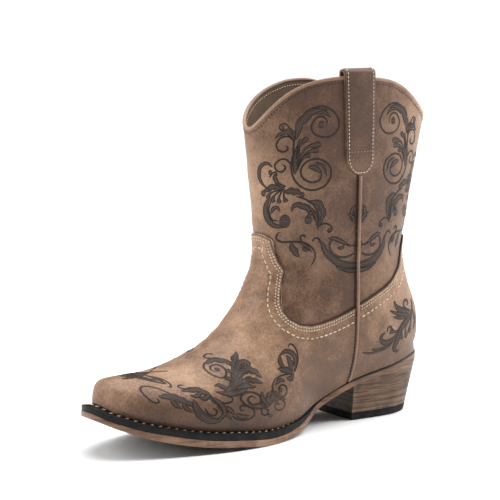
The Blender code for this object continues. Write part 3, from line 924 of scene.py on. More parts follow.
@dataclass(frozen=True)
class InkFinish:
    """Dark dyed ornament on the leather: a darker outline, with paler veins within."""

    name: str
    line: Colour
    fill: Colour
    bare: Colour

    def make(self) -> Material:
        """The material.

        Returns:
            The material.
        """
        material, graph, shader = Finish.start(self.name)
        grain = Finish.effect(graph, "hide_grain")
        dye = Finish.effect(graph, "mottle", Patches=260.0)
        rim = graph.fade(graph.attribute("rim_mm"), 0.42, 0.75)
        vein = graph.math("ABSOLUTE", graph.attribute("vein_mm"))
        middle = graph.fade(vein, 0.15, 0.45)
        hatch = graph.math("FRACT", graph.times(graph.attribute("hatch_mm"), 0.5))
        hatch = graph.fade(graph.off(hatch, 0.5), 0.1, 0.26)
        lines = graph.math("MAXIMUM", middle, graph.times(hatch, graph.span(vein, 0.3, 0.7)))
        fill = graph.mix(dye.outputs["Patches"], shade(self.fill, 0.8), shade(self.fill, 1.2))
        colour = graph.mix(graph.times(lines, 0.5), fill, self.bare)
        colour = graph.mix(rim, colour, self.line)
        rubbed = graph.times(graph.span(dye.outputs["Clouds"], 0.65, 1.0), 0.3)
        colour = graph.mix(rubbed, colour, self.bare)
        rough = graph.span(dye.outputs["Patches"], 0.0, 1.0, 0.5, 0.68)
        height = graph.less(graph.times(grain.outputs["Height"], 0.16),
                            graph.times(rim, 0.12))
        Finish.dress(graph, shader, colour, rough, height, 0.35)
        shader.inputs["Specular IOR Level"].default_value = 0.3
        return material


@dataclass(frozen=True)
class ThreadFinish:
    """Waxed sewing thread, a little soiled."""

    name: str
    clean: Colour
    soiled: Colour

    def make(self) -> Material:
        """The material.

        Returns:
            The material.
        """
        material, graph, shader = Finish.start(self.name)
        where = graph.place()
        soil = graph.span(graph.noise(where, 140.0, 4.0), 0.35, 0.72)
        colour = graph.mix(soil, self.clean, self.soiled)
        twist = graph.noise(where, 3200.0, 1.0)
        rough = graph.span(soil, 0.0, 1.0, 0.6, 0.8)
        Finish.dress(graph, shader, colour, rough, twist, 0.3, 0.0003)
        return material


@dataclass(frozen=True)
class SoleFinish:
    """Cut and dyed edge of sole leather with fine lines along it, and painted shade along the top of the
    outsole's edge and on the heel stack's breast and rear.
    """

    name: str
    dark: Colour
    light: Colour
    lines: float  # lines to the metre, up the edge
    wander: float
    rough: float
    bump: float
    heel: Colour | None = None
    heel_end: float = 0.0
    under: Colour | None = None
    layers: float = 0.0  # dark layer lines to the metre
    # The rear of the heel stack, where painted shade is fullest, fading forward.
    rear: float = 0.0  # x of the rear, where it is darker

    def make(self) -> Material:
        """The material.

        Returns:
            The material.
        """
        material, graph, shader = Finish.start(self.name)
        dye = Finish.effect(graph, "mottle", Clouds=60.0, Patches=300.0)
        where = graph.place()
        grain = graph.noise(graph.stretched(where, 18.0, self.lines), 1.0, 5.0, 0.62, self.wander)
        thread = graph.noise(graph.stretched(where, 60.0, self.lines * 3.4), 1.0, 3.0, 0.6, self.wander)
        tone = graph.plus(graph.times(grain, 0.75), graph.times(thread, 0.35))
        tone = graph.plus(tone, graph.times(graph.less(dye.outputs["Clouds"], 0.5), 0.25))
        share = graph.span(tone, 0.40, 0.70)
        colour = graph.mix(share, self.dark, self.light)
        forward, facing = graph.axis(where, "X"), graph.add("NewGeometry").outputs["Normal"]
        if self.heel is not None:
            back = graph.fade(forward, self.heel_end - 0.006, self.heel_end + 0.012)
            colour = graph.mix(back, colour, graph.mix(share, shade(self.heel, 0.5), self.heel))
            # Painted shadow line: behind the heel breast the outsole's edge is darkened just below its top,
            # where the upper meets the sole.
            rim = graph.fade(graph.attribute("edge_mm"), 0.5, 1.7)
            colour = graph.mix(graph.times(rim, back), colour, shade(self.dark, 0.12))
        if self.under is not None:
            toe = graph.span(forward, 0.085, 0.125, 0.0, 0.55)
            toe = graph.times(toe, graph.span(dye.outputs["Clouds"], 0.1, 0.6))
            colour = graph.mix(toe, colour, self.dark)
            down = graph.span(graph.axis(facing, "Z"), -0.9, -0.6, 1.0, 0.0)
            scuffs = graph.noise(where, 90.0, 8.0, 0.7, 1.5)
            worn = graph.mix(graph.span(scuffs, 0.36, 0.66), shade(self.under, 0.5), self.under)
            colour = graph.mix(down, colour, worn)
            # Painted shade: the outsole's upward faces, its ledge beside the upper, are darkened as a shadow
            # line.
            up = graph.span(graph.axis(facing, "Z"), 0.55, 0.8)
            colour = graph.mix(up, colour, shade(self.dark, 0.16))
        if self.layers:
            wave = graph.times(graph.noise(graph.stretched(where, 22.0, 90.0), 1.0, 3.0), 3.0)
            phase = graph.math("FRACT", graph.plus(graph.times(graph.axis(where, "Z"), self.layers), wave))
            line = graph.fade(graph.off(phase, 0.5), 0.05, 0.24)
            line = graph.times(line, graph.span(dye.outputs["Clouds"], 0.1, 0.8, 0.15, 0.65))
            colour = graph.mix(line, colour, shade(self.dark, 0.5))
            # Painted shade: the rear of the heel stack is darkened.
            behind = graph.span(forward, self.rear, self.rear + 0.022, 0.8, 0.0, "SMOOTHSTEP")
            colour = graph.mix(behind, colour, shade(self.dark, 0.5))
            # Painted shade: faces that look forward, the heel breast, are darkened.
            ahead = graph.axis(facing, "X")
            colour = graph.mix(graph.span(ahead, 0.6, 0.85, 0.0, 0.75), colour, shade(self.dark, 0.4))
        dust = Finish.effect(graph, "floor_dust", Top=0.016)
        colour = graph.mix(graph.times(dust.outputs["Dust"], 0.3), colour, srgb(176, 156, 134))
        rough = graph.span(share, 0.0, 1.0, self.rough + 0.12, self.rough - 0.06)
        Finish.dress(graph, shader, colour, rough, tone, self.bump)
        return material


@dataclass(frozen=True)
class PlainFinish:
    """Rubber, board or lining: one colour with specks, patches and a fine grain."""

    name: str
    colour: Colour
    patch: Colour
    rough: float
    grain: float
    bump: float
    dusty: float = 0.0

    def make(self) -> Material:
        """The material.

        Returns:
            The material.
        """
        material, graph, shader = Finish.start(self.name)
        dye = Finish.effect(graph, "mottle", Specks=self.grain)
        share = graph.plus(graph.times(dye.outputs["Patches"], 0.6),
                           graph.times(dye.outputs["Specks"], 0.4))
        colour = graph.mix(share, self.colour, self.patch)
        dust = Finish.effect(graph, "floor_dust", Top=0.04)
        colour = graph.mix(graph.times(dust.outputs["Dust"], self.dusty), colour, srgb(150, 136, 120))
        rough = graph.span(dye.outputs["Patches"], 0.0, 1.0, self.rough - 0.08, self.rough + 0.1)
        Finish.dress(graph, shader, colour, rough, dye.outputs["Specks"], self.bump, 0.0004)
        shader.inputs["Specular IOR Level"].default_value = 0.2
        return material


@dataclass
class Upper:
    """The hollow leather upper: skin, lining and collar edge."""

    last: LastShape
    wall: float = WALL
    gap: float = GAP
    overlay: float = OVERLAY
    rows: int = 150
    columns: int = 180
    binding: float = BINDING
    binding_ease: float = 0.0001
    binding_swell: float = 0.0001
    binding_sink: float = 0.0005
    below: float = 0.06  # of a table row, from the collar to the line under it

    def skin(self, first: float, final: float, rows: int, columns: int) -> BMesh:
        """A stretch of the upper's outer face as an open mesh.

        Args:
            first: its first place along the girths.
            final: its last place.
            rows: number of spaces along.
            columns: number of spaces round.

        Returns:
            The edit mesh, welded down the back, with its faces outward.
        """
        bm = bmesh.new()
        corners, flat = Workshop.grid(bm, rows, columns)
        Workshop.place(corners, self.last.points(first + flat[:, 0] * (final - first), flat[:, 1]))
        Workshop.weld(bm)
        bm.normal_update()
        outermost = max(bm.faces, key=lambda face: face.calc_center_median().y)
        if outermost.normal.y < 0:
            bmesh.ops.reverse_faces(bm, faces=bm.faces)
        bm.normal_update()
        return bm

    def outward(self, corner: bmesh.types.BMVert) -> Vector:
        """The way out of the skin, level and square to the edge where it meets the sole.

        Args:
            corner: a corner of the skin.

        Returns:
            The way, of length 1.
        """
        if not corner.is_boundary or corner.co.z > self.last.rows[self.last.heel_row][3] + self.gap:
            return corner.normal.copy()
        ends = [edge.other_vert(corner).co for edge in corner.link_edges if edge.is_boundary]
        along = ends[-1] - ends[0]
        level = Vector((-along.y, along.x, 0.0)).normalized()
        return level if level.dot(corner.normal) > 0 else -level

    def shell(self, bm: BMesh, near: float, far: float) -> list:
        """Give an open skin a wall from near to far.

        Args:
            bm: the skin.
            near: distance of the wall's inner face, outward.
            far: distance of its outer face.

        Returns:
            The faces of the inner side.
        """
        way = bm.verts.layers.float_vector.new("way")
        for corner in bm.verts:
            corner[way] = self.outward(corner)
        base, inner = list(bm.verts), list(bm.faces)
        grown = bmesh.ops.extrude_face_region(bm, geom=[*bm.verts, *bm.edges, *bm.faces], use_keep_orig=True)
        moved = [item for item in grown["geom"] if isinstance(item, bmesh.types.BMVert)]
        for corners, reach in ((moved, far), (base, near)):
            for corner in corners:
                corner.co += Vector(corner[way]) * reach
        bmesh.ops.recalc_face_normals(bm, faces=bm.faces)
        return inner

    def build(self, leather: Material, lining: Material) -> Piece:
        """The skin and its lining.

        Args:
            leather: finish of the outside.
            lining: finish of the inside.

        Returns:
            The piece.
        """
        bm = self.skin(0.0, self.last.end, self.rows, self.columns)
        for face in self.shell(bm, -self.wall, 0.0):
            face.material_index = 1
        return Workshop.finish(bm, "upper_leather", (leather, lining), "upper", ("upper",), toned_and_shaded=True)

    def collar(self, count: int = 260) -> tuple[Array, Array]:
        """The collar's outer edge once round, and a line just below it.

        Args:
            count: number of points in each.

        Returns:
            The two lines.
        """
        turns = np.linspace(-1, 1, count, endpoint=False)
        ends = (self.last.end, self.last.end - self.below)
        return tuple(self.last.points(np.full(count, end), turns) for end in ends)

    def build_binding(self, finish: Material) -> Piece:
        """The rounded edge that sits on the collar.

        Args:
            finish: its finish.

        Returns:
            The piece.
        """
        radius = self.binding / 2 + self.binding_swell
        row, below = self.collar()
        line, over = [], self.gap + self.binding_ease + self.binding / 2 - self.binding_sink
        for index, point in enumerate(row):
            along = Vector(row[(index + 1) % len(row)] - row[index - 1]).normalized()
            rise = Vector(point - below[index])
            rise = (rise - along * rise.dot(along)).normalized()
            inward = along.cross(rise)
            line.append(Vector(point) + inward * self.wall / 2 + rise * over)
        bm = Workshop.tube(np.array(line), radius, True, 12)
        node = "collar_binding"
        return Workshop.finish(bm, "collar_edge", (finish,), node, (node,), toned_and_shaded=True)


def tones_and_shading(points: Array) -> Array:
    """How much paler or darker the leather is drawn at each point, from its own tone and from painted light
    and shade.

    Args:
        points: points in the last's frame.

    Returns:
        The change at each.
    """
    total = np.zeros(len(points))
    for blotch in TONE_AND_SHADE_BLOTCHES:
        away = np.linalg.norm(np.abs(points) - np.array((blotch.x, blotch.y, blotch.z)), axis=1)
        total += blotch.amount * np.exp(-((away / blotch.reach) ** 2))
    return total


@dataclass(frozen=True)
class Stitch:
    """One kind of stitch."""

    length: float
    width: float
    height: float
    pitch: float
    slant: float = 0.0  # degrees
    lift: float = 0.1  # of its middle, as a share of its height


class Thread:
    """Gathers stitches and sews them as one piece."""

    def __init__(self) -> None:
        """Start with no stitches."""
        self.spots: list[Matrix] = []

    def sew(self, line: Array, normals: Array, stitch: Stitch) -> None:
        """Sew along a line on the leather.

        Args:
            line: points of the line, closely spaced.
            normals: the way out of the leather at each point.
            stitch: the kind of stitch.
        """
        count = max(int(line_length(line) / stitch.pitch), 1)
        both = resample(np.hstack([line, normals * 1e-6]), 2 * count + 1)
        for index in range(1, 2 * count, 2):
            along = Vector(both[index + 1, :3] - both[index - 1, :3])
            out = Vector(both[index, 3:]).normalized()
            along = (along - out * along.dot(out)).normalized()
            turned = Matrix.Rotation(math.radians(stitch.slant), 3, out) @ along
            side = out.cross(turned)
            axes = (turned * stitch.length / 2, side * stitch.width / 2, out * stitch.height / 2)
            spot = Matrix(axes).transposed().to_4x4()
            spot.translation = Vector(both[index, :3]) + out * stitch.height * stitch.lift
            self.spots.append(spot)

    def build(self, name: str, finish: Material, slot: str) -> Piece:
        """All stitches as one piece.

        Args:
            name: the piece's name.
            finish: its finish.
            slot: a name passed on to Workshop.finish, which does not use it.

        Returns:
            The piece.
        """
        bm = bmesh.new()
        bmesh.ops.create_uvsphere(bm, u_segments=6, v_segments=5, radius=1.0,
                                  matrix=Matrix.Rotation(math.pi / 2, 4, "Y"))
        bmesh.ops.triangulate(bm, faces=bm.faces)
        bm.verts.index_update()
        shape = np.array([corner.co for corner in bm.verts])
        faces = np.array([[corner.index for corner in face.verts] for face in bm.faces])
        bm.free()
        moves = np.array(self.spots)
        spots = np.einsum("nij,vj->nvi", moves[:, :3, :3], shape) + moves[:, None, :3, 3]
        joined = faces[None] + (np.arange(len(moves)) * len(shape))[:, None, None]
        mesh = bpy.data.meshes.new(name)
        mesh.from_pydata(spots.reshape(-1, 3), [], joined.reshape(-1, 3))
        bm = bmesh.new()
        bm.from_mesh(mesh)
        bpy.data.meshes.remove(mesh)
        bmesh.ops.recalc_face_normals(bm, faces=bm.faces)
        return Workshop.finish(bm, name, (finish,), slot, sharp=80.0)


def inset_line(line: Array, inward: Array, tree: BVHTree, reach: float) -> tuple[Array, Array]:
    """A line at a distance from an edge along the leather.

    Args:
        line: points of the edge.
        inward: the way into the panel at each.
        tree: the leather.
        reach: the distance.

    Returns:
        The line's points and the way out of the leather at each.
    """
    count = max(int(line_length(line) / INSET_STEP), 8)
    both = resample(np.hstack([line, inward * 0.02]), count)
    spots, ways = [], []
    for index in range(count):
        here = Vector(both[index, :3])
        along = Vector(both[min(index + 4, count - 1), :3] - both[max(index - 4, 0), :3]).normalized()
        into = Vector(both[index, 3:])
        into = (into - along * into.dot(along)).normalized()
        place, normal = tree.find_nearest(here + into * reach)[:2]
        spots.append(place)
        ways.append(normal)
    return np.array(spots), np.array(ways)


@dataclass
class Panel:
    """A panel laid over the upper and sewn round its cut edge."""

    name: str
    node: str
    outline: tuple[EdgePoint, ...]
    upper: Upper
    first: float
    final: float
    rows: int
    columns: int
    seam_x: float
    join_x: float
    spans: tuple[tuple[float, float], ...]
    skin: BVHTree
    reach: float = 0.08
    row_start: float = 0.006
    seam_clear: float = 0.0009
    edge_step: float = 0.0009
    edge_radius: float = 0.0008
    edge_rise: float = 0.4
    places: int = 260
    turns: int = 2400
    halvings: int = 7
    flank_steps: int = 160
    least_face: float = 0.4  # how squarely a flank faces the side at least
    back_step: float = 0.02  # of a table row, into the panel

    def cutter(self) -> Piece:
        """A wide body with the panel's outline seen from the side.

        Returns:
            The body.
        """
        bm = bmesh.new()
        face = bm.faces.new([bm.verts.new((spot.x, -self.reach, spot.z)) for spot in self.outline])
        grown = bmesh.ops.extrude_face_region(bm, geom=[face])
        moved = [item for item in grown["geom"] if isinstance(item, bmesh.types.BMVert)]
        bmesh.ops.translate(bm, verts=moved, vec=(0.0, 2 * self.reach, 0.0))
        bmesh.ops.recalc_face_normals(bm, faces=bm.faces)
        return self.loose(bm, self.name + "_cutter")

    @staticmethod
    def loose(bm: BMesh, name: str) -> Piece:
        """An object for a cut, removed after it."""
        return Workshop.put(name, Workshop.mesh(bm, name))

    def cut(self, bm: BMesh) -> BMesh:
        """Keep what lies inside the panel's outline.

        Args:
            bm: the mesh to cut.

        Returns:
            What is kept.
        """
        body, cutter = self.loose(bm, self.name + "_body"), self.cutter()
        keep = body.modifiers.new("keep", "BOOLEAN")
        keep.operation, keep.solver, keep.object = "INTERSECT", "EXACT", cutter
        view = bpy.context.evaluated_depsgraph_get()
        mesh = bpy.data.meshes.new_from_object(body.evaluated_get(view))
        made = bmesh.new()
        made.from_mesh(mesh)
        for item in (body, cutter):
            bpy.data.objects.remove(item, do_unlink=True)
        bpy.data.meshes.remove(mesh)
        return made

    def inside(self, x: Array, z: Array) -> Array:
        """Whether points seen from the side lie inside the outline.

        Args:
            x: how far forward they are.
            z: how high they are.

        Returns:
            True for each that does.
        """
        found = np.zeros(x.shape, bool)
        for start, end in zip(self.outline, self.outline[1:] + self.outline[:1]):
            if start.z == end.z:
                continue
            crosses = (start.z > z) != (end.z > z)
            found ^= crosses & (x < start.x + (z - start.z) * (end.x - start.x) / (end.z - start.z))
        return found

    def edge(self, turns: Array) -> Array:
        """Places along the girths where the panel ends, for turns round them.

        Args:
            turns: the turns.

        Returns:
            The places, with gaps where a girth misses the panel.
        """
        last = self.upper.last
        places = np.linspace(self.first, self.final, self.places)
        grid_t, grid_u = np.meshgrid(places, turns, indexing="ij")
        spots = last.bare(grid_t.ravel(), grid_u.ravel())
        within = self.inside(spots[:, 0], spots[:, 2]).reshape(grid_t.shape)
        final = len(places) - 1 - np.argmax(within[::-1], axis=0)
        low, high = places[final], places[np.minimum(final + 1, len(places) - 1)]
        for _ in range(self.halvings):
            half = (low + high) / 2
            spots = last.bare(half, turns)
            held = self.inside(spots[:, 0], spots[:, 2])
            low, high = np.where(held, half, low), np.where(held, high, half)
        return np.where(within.any(axis=0), low, np.nan)

    def flank(self, side: Side, rise: float, early: float) -> tuple[Array, Array]:
        """The cut edge on one side, from the seam to where the girths take over.

        Args:
            side: the side.
            rise: share of the panel's thickness to lift the line by.
            early: how far before the seam it starts.

        Returns:
            The points of the edge, and for each the way into the panel.
        """
        near = np.array(sorted(self.outline[1:6]))
        (seam_x, seam_z), (next_x, next_z) = self.outline[1:3]
        slope = (next_z - seam_z) / (next_x - seam_x)
        line = []
        begin = seam_x - math.copysign(early, next_x - seam_x)
        for x in np.linspace(begin, self.join_x, self.flank_steps)[2:]:
            z = np.interp(x, near[:, 0], near[:, 1]) + slope * (x - np.clip(x, near[0, 0], near[-1, 0]))
            start = Vector((x, side.value * self.reach, z))
            place, normal = self.skin.ray_cast(start, Vector((0.0, -side.value, 0.0)))[:2]
            off = (self.upper.gap + self.upper.overlay * rise) / max(abs(normal.y), self.least_face)
            line.append((place.x, place.y + side.value * off, place.z))
        return np.array(line), np.repeat([[0.0, 0.0, -0.001]], len(line), axis=0)

    def round_edge(self, low: float, high: float, rise: float) -> tuple[Array, Array]:
        """The cut edge over a span of turns round the girths, and the way into the panel.

        Args:
            low: the first turn.
            high: the last turn.
            rise: share of the panel's thickness to lift the line by.

        Returns:
            The points of the edge, and for each the way into the panel.
        """
        last = self.upper.last
        turns = np.linspace(low, high, self.turns)
        places = self.edge(turns)
        turns, places = turns[~np.isnan(places)], places[~np.isnan(places)]
        beyond = (last.bare(places, turns)[:, 0] - self.join_x) * (self.join_x - self.seam_x) > 0
        turns, places = turns[beyond], places[beyond]
        lift = last.normals(places, turns) * (self.upper.gap + self.upper.overlay * rise)
        spots, back = last.points(places, turns), last.points(places - self.back_step, turns)
        return spots + lift, back - spots

    def edge_line(self, rise: float = 1.0, early: float = 0.0) -> tuple[Array, Array]:
        """The panel's cut edge from the outer seam round to the inner one.

        Args:
            rise: share of the panel's thickness to lift the line by.
            early: how far before the seam it starts, for rows that lie further in.

        Returns:
            The points of the edge, and for each the way into the panel along the leather.
        """
        outer, inner = (self.flank(side, rise, early) for side in Side)
        rounds = [self.round_edge(low, high, rise) for low, high in self.spans]
        parts = [outer, *rounds, tuple(part[::-1] for part in inner)]
        return tuple(np.vstack(column) for column in zip(*parts))

    def build_edge(self, finish: Material) -> Piece:
        """The dyed cut edge as a thin dark cord along the panel, which also stands for painted shade where
        the panel steps down onto the upper.

        Args:
            finish: its finish.

        Returns:
            The piece.
        """
        line = self.edge_line(self.edge_rise)[0]
        line = resample(line, int(line_length(line) / self.edge_step))
        bm = Workshop.tube(line, self.edge_radius, False, 6)
        return Workshop.finish(bm, f"{self.node}_edge", (finish,), self.node)

    def sew(self, thread: Thread, leather: BVHTree) -> None:
        """Sew the panel's rows, clear of the seam.

        Args:
            thread: what sews them.
            leather: the finished panel.
        """
        line, inward = self.edge_line(early=self.row_start)
        onward = math.copysign(1.0, self.join_x - self.seam_x)
        for reach, stitch in PANEL_ROWS:
            spots, ways = inset_line(line, inward, leather, reach)
            clear = (spots[:, 0] - self.seam_x) * onward > self.seam_clear
            thread.sew(spots[clear], ways[clear], stitch)

    def build(self, finish: Material, slot: str) -> Piece:
        """The panel.

        Args:
            finish: its finish.
            slot: a name passed on to Workshop.finish, which does not use it.

        Returns:
            The piece.
        """
        bm = self.upper.skin(self.first, self.final, self.rows, self.columns)
        self.upper.shell(bm, self.upper.gap, self.upper.gap + self.upper.overlay)
        bm = self.cut(bm)
        bmesh.ops.remove_doubles(bm, verts=bm.verts, dist=WELD)
        bmesh.ops.recalc_face_normals(bm, faces=bm.faces)
        piece = Workshop.finish(bm, self.name, (finish,), slot, (self.node,), 35.0, True)
        Workshop.record_edge(piece, self.edge_line()[0])
        return piece


class Spot(NamedTuple):
    """A spot of the edge where the upper meets the sole."""

    place: Vector
    out: Vector
    ledge: float
    welt: float
    sole: float


Measure = Callable[[Spot], float]


@dataclass
class Sole:
    """Welt, outsole, stacked heel, heel cap and the board inside."""

    last: LastShape
    gap: float = GAP
    seat_ease: float = 0.0002
    welt_inset: float = 0.0032
    welt_setback: float = 0.0004
    welt_least: float = 0.0012
    insole_inset: float = 0.0038
    insole_rise: float = 0.0012
    insole_ease: float = 0.0006
    breast_x: float = 0.0715
    heel_cap: float = 0.0052
    rear_taper: float = 0.0105
    side_taper: float = 0.09
    cap_level: float = 0.86
    steps: int = 10
    toe_steps: int = 20
    round_over: float = 0.0007
    cap_round: float = 0.0005
    welt_overlap: float = 0.00045
    groove_from: float = 0.35  # share of the welt's width where its groove starts
    groove_dip: float = 0.0005
    thread_dip: float = 0.0004
    thread_share: float = 0.36

    def edge(self, side: Side) -> list[Spot]:
        """Spots where the upper meets the sole, from the back of the heel to the tip of the toe.

        Args:
            side: the side.

        Returns:
            The spots.
        """
        sign = side.value
        last = self.last
        places = np.linspace(last.heel_row, 0, last.heel_row * self.steps + 1)
        girths = last.girths(places)
        points = [Vector(point) for point in last.bare(places, np.full(len(places), -float(sign)))]
        toe_x, toe_z, middle = last.rows[0][2], last.rows[0][3], last.rows[0][6]
        corner = points[-1]
        for step in range(1, self.toe_steps + 1):
            share = 1 - step / self.toe_steps
            lead = 1 - share ** 2
            points.append(Vector((corner.x + (toe_x - corner.x) * lead, middle + (corner.y - middle) * share,
                                  corner.z + (toe_z - corner.z) * lead)))
        girths = np.vstack([girths, np.repeat(last.rows[:1], self.toe_steps, axis=0)])
        spots, final = [], len(points) - 1
        for index, point in enumerate(points):
            along = points[min(index + 1, final)] - points[max(index - 1, 0)]
            out = Vector((-along.y * sign, along.x * sign, 0.0)).normalized()
            if index in (0, final):
                out = Vector((-1.0 if index == 0 else 1.0, 0.0, 0.0))
            ledge, welt, sole = girths[index][11:14]
            spots.append(Spot(point, out, ledge, max(welt, 0.0), sole))
        return spots

    def top(self, spot: Spot) -> float:
        """Height of the outsole's top face."""
        welted = min(spot.welt / self.welt_least, 1.0)
        return spot.place.z - self.gap - spot.welt - self.gap * welted - self.seat_ease * (1 - welted)

    def bottom(self, spot: Spot) -> float:
        """Height of the outsole's underside."""
        return max(self.top(spot) - spot.sole, 0.0)

    @staticmethod
    def at(spot: Spot, reach: float, z: float) -> Array:
        """A point at a distance out from the upper's edge, at a height."""
        place = spot.place + spot.out * reach
        return np.array((place.x, place.y, z))

    def rim(self, count: int = 9, power: float = 0.45) -> list[tuple[float, float]]:
        """A rounded edge from top to bottom, as share of its depth inward and share of its height.

        Args:
            count: number of points.
            power: how square it is, rounder towards 1.

        Returns:
            The shares.
        """
        shares = []
        for turn in np.linspace(math.pi / 2, -math.pi / 2, count):
            lift = math.copysign(abs(math.sin(turn)) ** power, turn)
            shares.append((1 - abs(math.cos(turn)) ** power, (1 + lift) / 2))
        return shares

    def slab(self, reach: Measure, low: Measure, high: Measure, across: int = 8) -> BMesh:
        """A plate with a rounded edge.

        Args:
            reach: distance of its edge out from the upper's edge at a spot.
            low: height of its underside at a spot.
            high: height of its top at a spot.
            across: number of spaces across its top and underside.

        Returns:
            The edit mesh, closed.
        """
        rings = []
        for outer, inner in zip(self.edge(Side.OUTER), self.edge(Side.INNER)):
            sides = []
            for spot in (outer, inner):
                edge, base, top = reach(spot), low(spot), high(spot)
                sides.append([self.at(spot, edge - self.round_over * inset, base + (top - base) * lift)
                              for inset, lift in self.rim()])
            shares = np.linspace(0, 1, across + 1)[1:-1, None]
            over = sides[0][0] + (sides[1][0] - sides[0][0]) * shares
            under = sides[1][-1] + (sides[0][-1] - sides[1][-1]) * shares
            rings.append([*sides[0][::-1], *over, *sides[1], *under])
        return Workshop.solid(rings)

    def build_outsole(self, finish: Material) -> Piece:
        """The outsole from heel seat to toe.

        Args:
            finish: its finish.

        Returns:
            The piece.
        """
        bm = self.slab(lambda spot: spot.ledge, self.bottom, self.top)
        piece = Workshop.finish(bm, "outsole_leather", (finish,), "outsole", ("outsole",), 60.0)
        # The distance from the top rim places the painted shadow line along the outsole's edge at the heel.
        line = [self.at(spot, spot.ledge, self.top(spot)) for side in Side for spot in self.edge(side)]
        Workshop.record_edge(piece, np.array(line))
        return piece

    def build_insole(self, finish: Material) -> Piece:
        """The board inside the upper.

        Args:
            finish: its finish.

        Returns:
            The piece.
        """
        bm = self.slab(lambda spot: -self.insole_inset, lambda spot: self.top(spot) + self.insole_ease,
                       lambda spot: spot.place.z + self.insole_rise)
        return Workshop.finish(bm, "insole_board", (finish,), "insole", ("insole",), 60.0)

    def welt_path(self) -> list[Spot]:
        """Spots along the welt, from the outer waist round the toe to the inner waist.

        Returns:
            The spots.
        """
        outer, inner = self.edge(Side.OUTER), self.edge(Side.INNER)
        kept = [spot for spot in outer if spot.welt > self.welt_least]
        return kept + [spot for spot in reversed(inner[:-1]) if spot.welt > self.welt_least]

    def groove(self, spot: Spot, share: float) -> float:
        """Distance out from the upper's edge of a share of the way across the welt's groove."""
        width = spot.ledge - self.welt_setback + self.welt_inset - self.round_over
        return -self.welt_inset + width * (self.groove_from + (1 - self.groove_from) * share)

    def build_welt(self, finish: Material) -> Piece:
        """The strip round the forefoot between outsole and upper.

        Args:
            finish: its finish.

        Returns:
            The piece.
        """
        rings, slope = [], 0.36 * self.groove_dip
        dips = ((0.06, 0.0), (0.2, slope), (self.thread_share, self.groove_dip), (0.52, slope), (0.66, 0.0))
        for spot in self.welt_path():
            top = spot.place.z - self.gap
            rim, depth = spot.ledge - self.welt_setback, spot.welt + self.welt_overlap
            ring = [self.at(spot, rim - self.round_over * inset, top - depth * (1 - lift))
                    for inset, lift in self.rim()]
            inner = [self.at(spot, -self.welt_inset, z) for z in (top - spot.welt, top)]
            groove = [self.at(spot, self.groove(spot, share), top - dip) for share, dip in dips]
            rings.append([*ring, *inner, *groove])
        return Workshop.finish(Workshop.solid(rings), "welt_strip", (finish,), "welt", ("welt",), 50.0)

    def sew_welt(self, thread: Thread, stitch: Stitch) -> None:
        """The row of stitches on the welt.

        Args:
            thread: what sews it.
            stitch: its stitch.
        """
        dip = self.gap + self.thread_dip
        share = self.thread_share
        line = [self.at(spot, self.groove(spot, share), spot.place.z - dip) for spot in self.welt_path()]
        thread.sew(np.array(line), np.repeat([[0.0, 0.0, 1.0]], len(line), axis=0), stitch)

    def heel_spots(self, side: Side) -> list[Spot]:
        """The edge's spots behind the heel breast, the last one on the breast.

        Args:
            side: the side.

        Returns:
            The spots.
        """
        edge = self.edge(side)
        behind = [spot for spot in edge if spot.place.x < self.breast_x]
        ahead, rear = edge[len(behind)], behind[-1]
        share = (self.breast_x - rear.place.x) / (ahead.place.x - rear.place.x)
        out = Vector((0.0, rear.out.y, 0.0)).normalized()
        return behind + [Spot(rear.place.lerp(ahead.place, share), out, ahead.ledge, 0.0, ahead.sole)]

    def heel_point(self, spot: Spot, level: float, z: float, inset: float = 0.0) -> Array:
        """A point of the heel's side; level is 0 at the seat and 1 at the floor.

        Args:
            spot: the spot of the edge above it.
            level: its share of the way down.
            z: its height.
            inset: how far it lies in.

        Returns:
            The point.
        """
        seat = spot.place + spot.out * (spot.ledge - inset)
        x = seat.x + self.rear_taper * level * (self.breast_x - seat.x) / self.breast_x
        return np.array((x, seat.y * (1 - self.side_taper * level), z))

    def block(self, levels: Sequence[tuple[float, float, Measure]], breast: int = 14) -> BMesh:
        """A heel body through level rings.

        Args:
            levels: for each ring its level, its inset and the height at a spot.
            breast: number of spaces across the breast.

        Returns:
            The edit mesh, closed.
        """
        path = self.heel_spots(Side.OUTER)[::-1] + self.heel_spots(Side.INNER)[1:]
        rings = []
        for level, inset, height in levels:
            ring = [self.heel_point(spot, level, height(spot), inset) for spot in path]
            shares = np.linspace(0, 1, breast + 1)[1:-1, None]
            across = ring[-1] + (ring[0] - ring[-1]) * shares
            rings.append([*ring, *across])
        return Workshop.solid(rings)

    def build_heel(self, stack: Material, rubber: Material) -> tuple[Piece, Piece]:
        """The stacked heel and its cap.

        Args:
            stack: the stack's finish.
            rubber: the cap's finish.

        Returns:
            The two pieces.
        """
        base = self.heel_cap + self.gap
        levels = []
        for share in np.linspace(0, 1, 17):
            levels.append((self.cap_level * share, 0.0,
                           lambda spot, s=share: (self.bottom(spot) + self.seat_ease) * (1 - s) + base * s))
        bm = self.block(levels)
        heel = Workshop.finish(bm, "heel_layers", (stack,), "heel_stack", ("heel_stack",), 50.0)
        levels = []
        for inset, lift in self.rim(7):
            level = self.cap_level + (1 - self.cap_level) * (1 - lift)
            levels.append((level, self.cap_round * inset, lambda spot, s=lift: self.heel_cap * s))
        cap = Workshop.finish(self.block(levels), "heel_tread", (rubber,), "heel_cap", ("heel_cap",), 50.0)
        return heel, cap


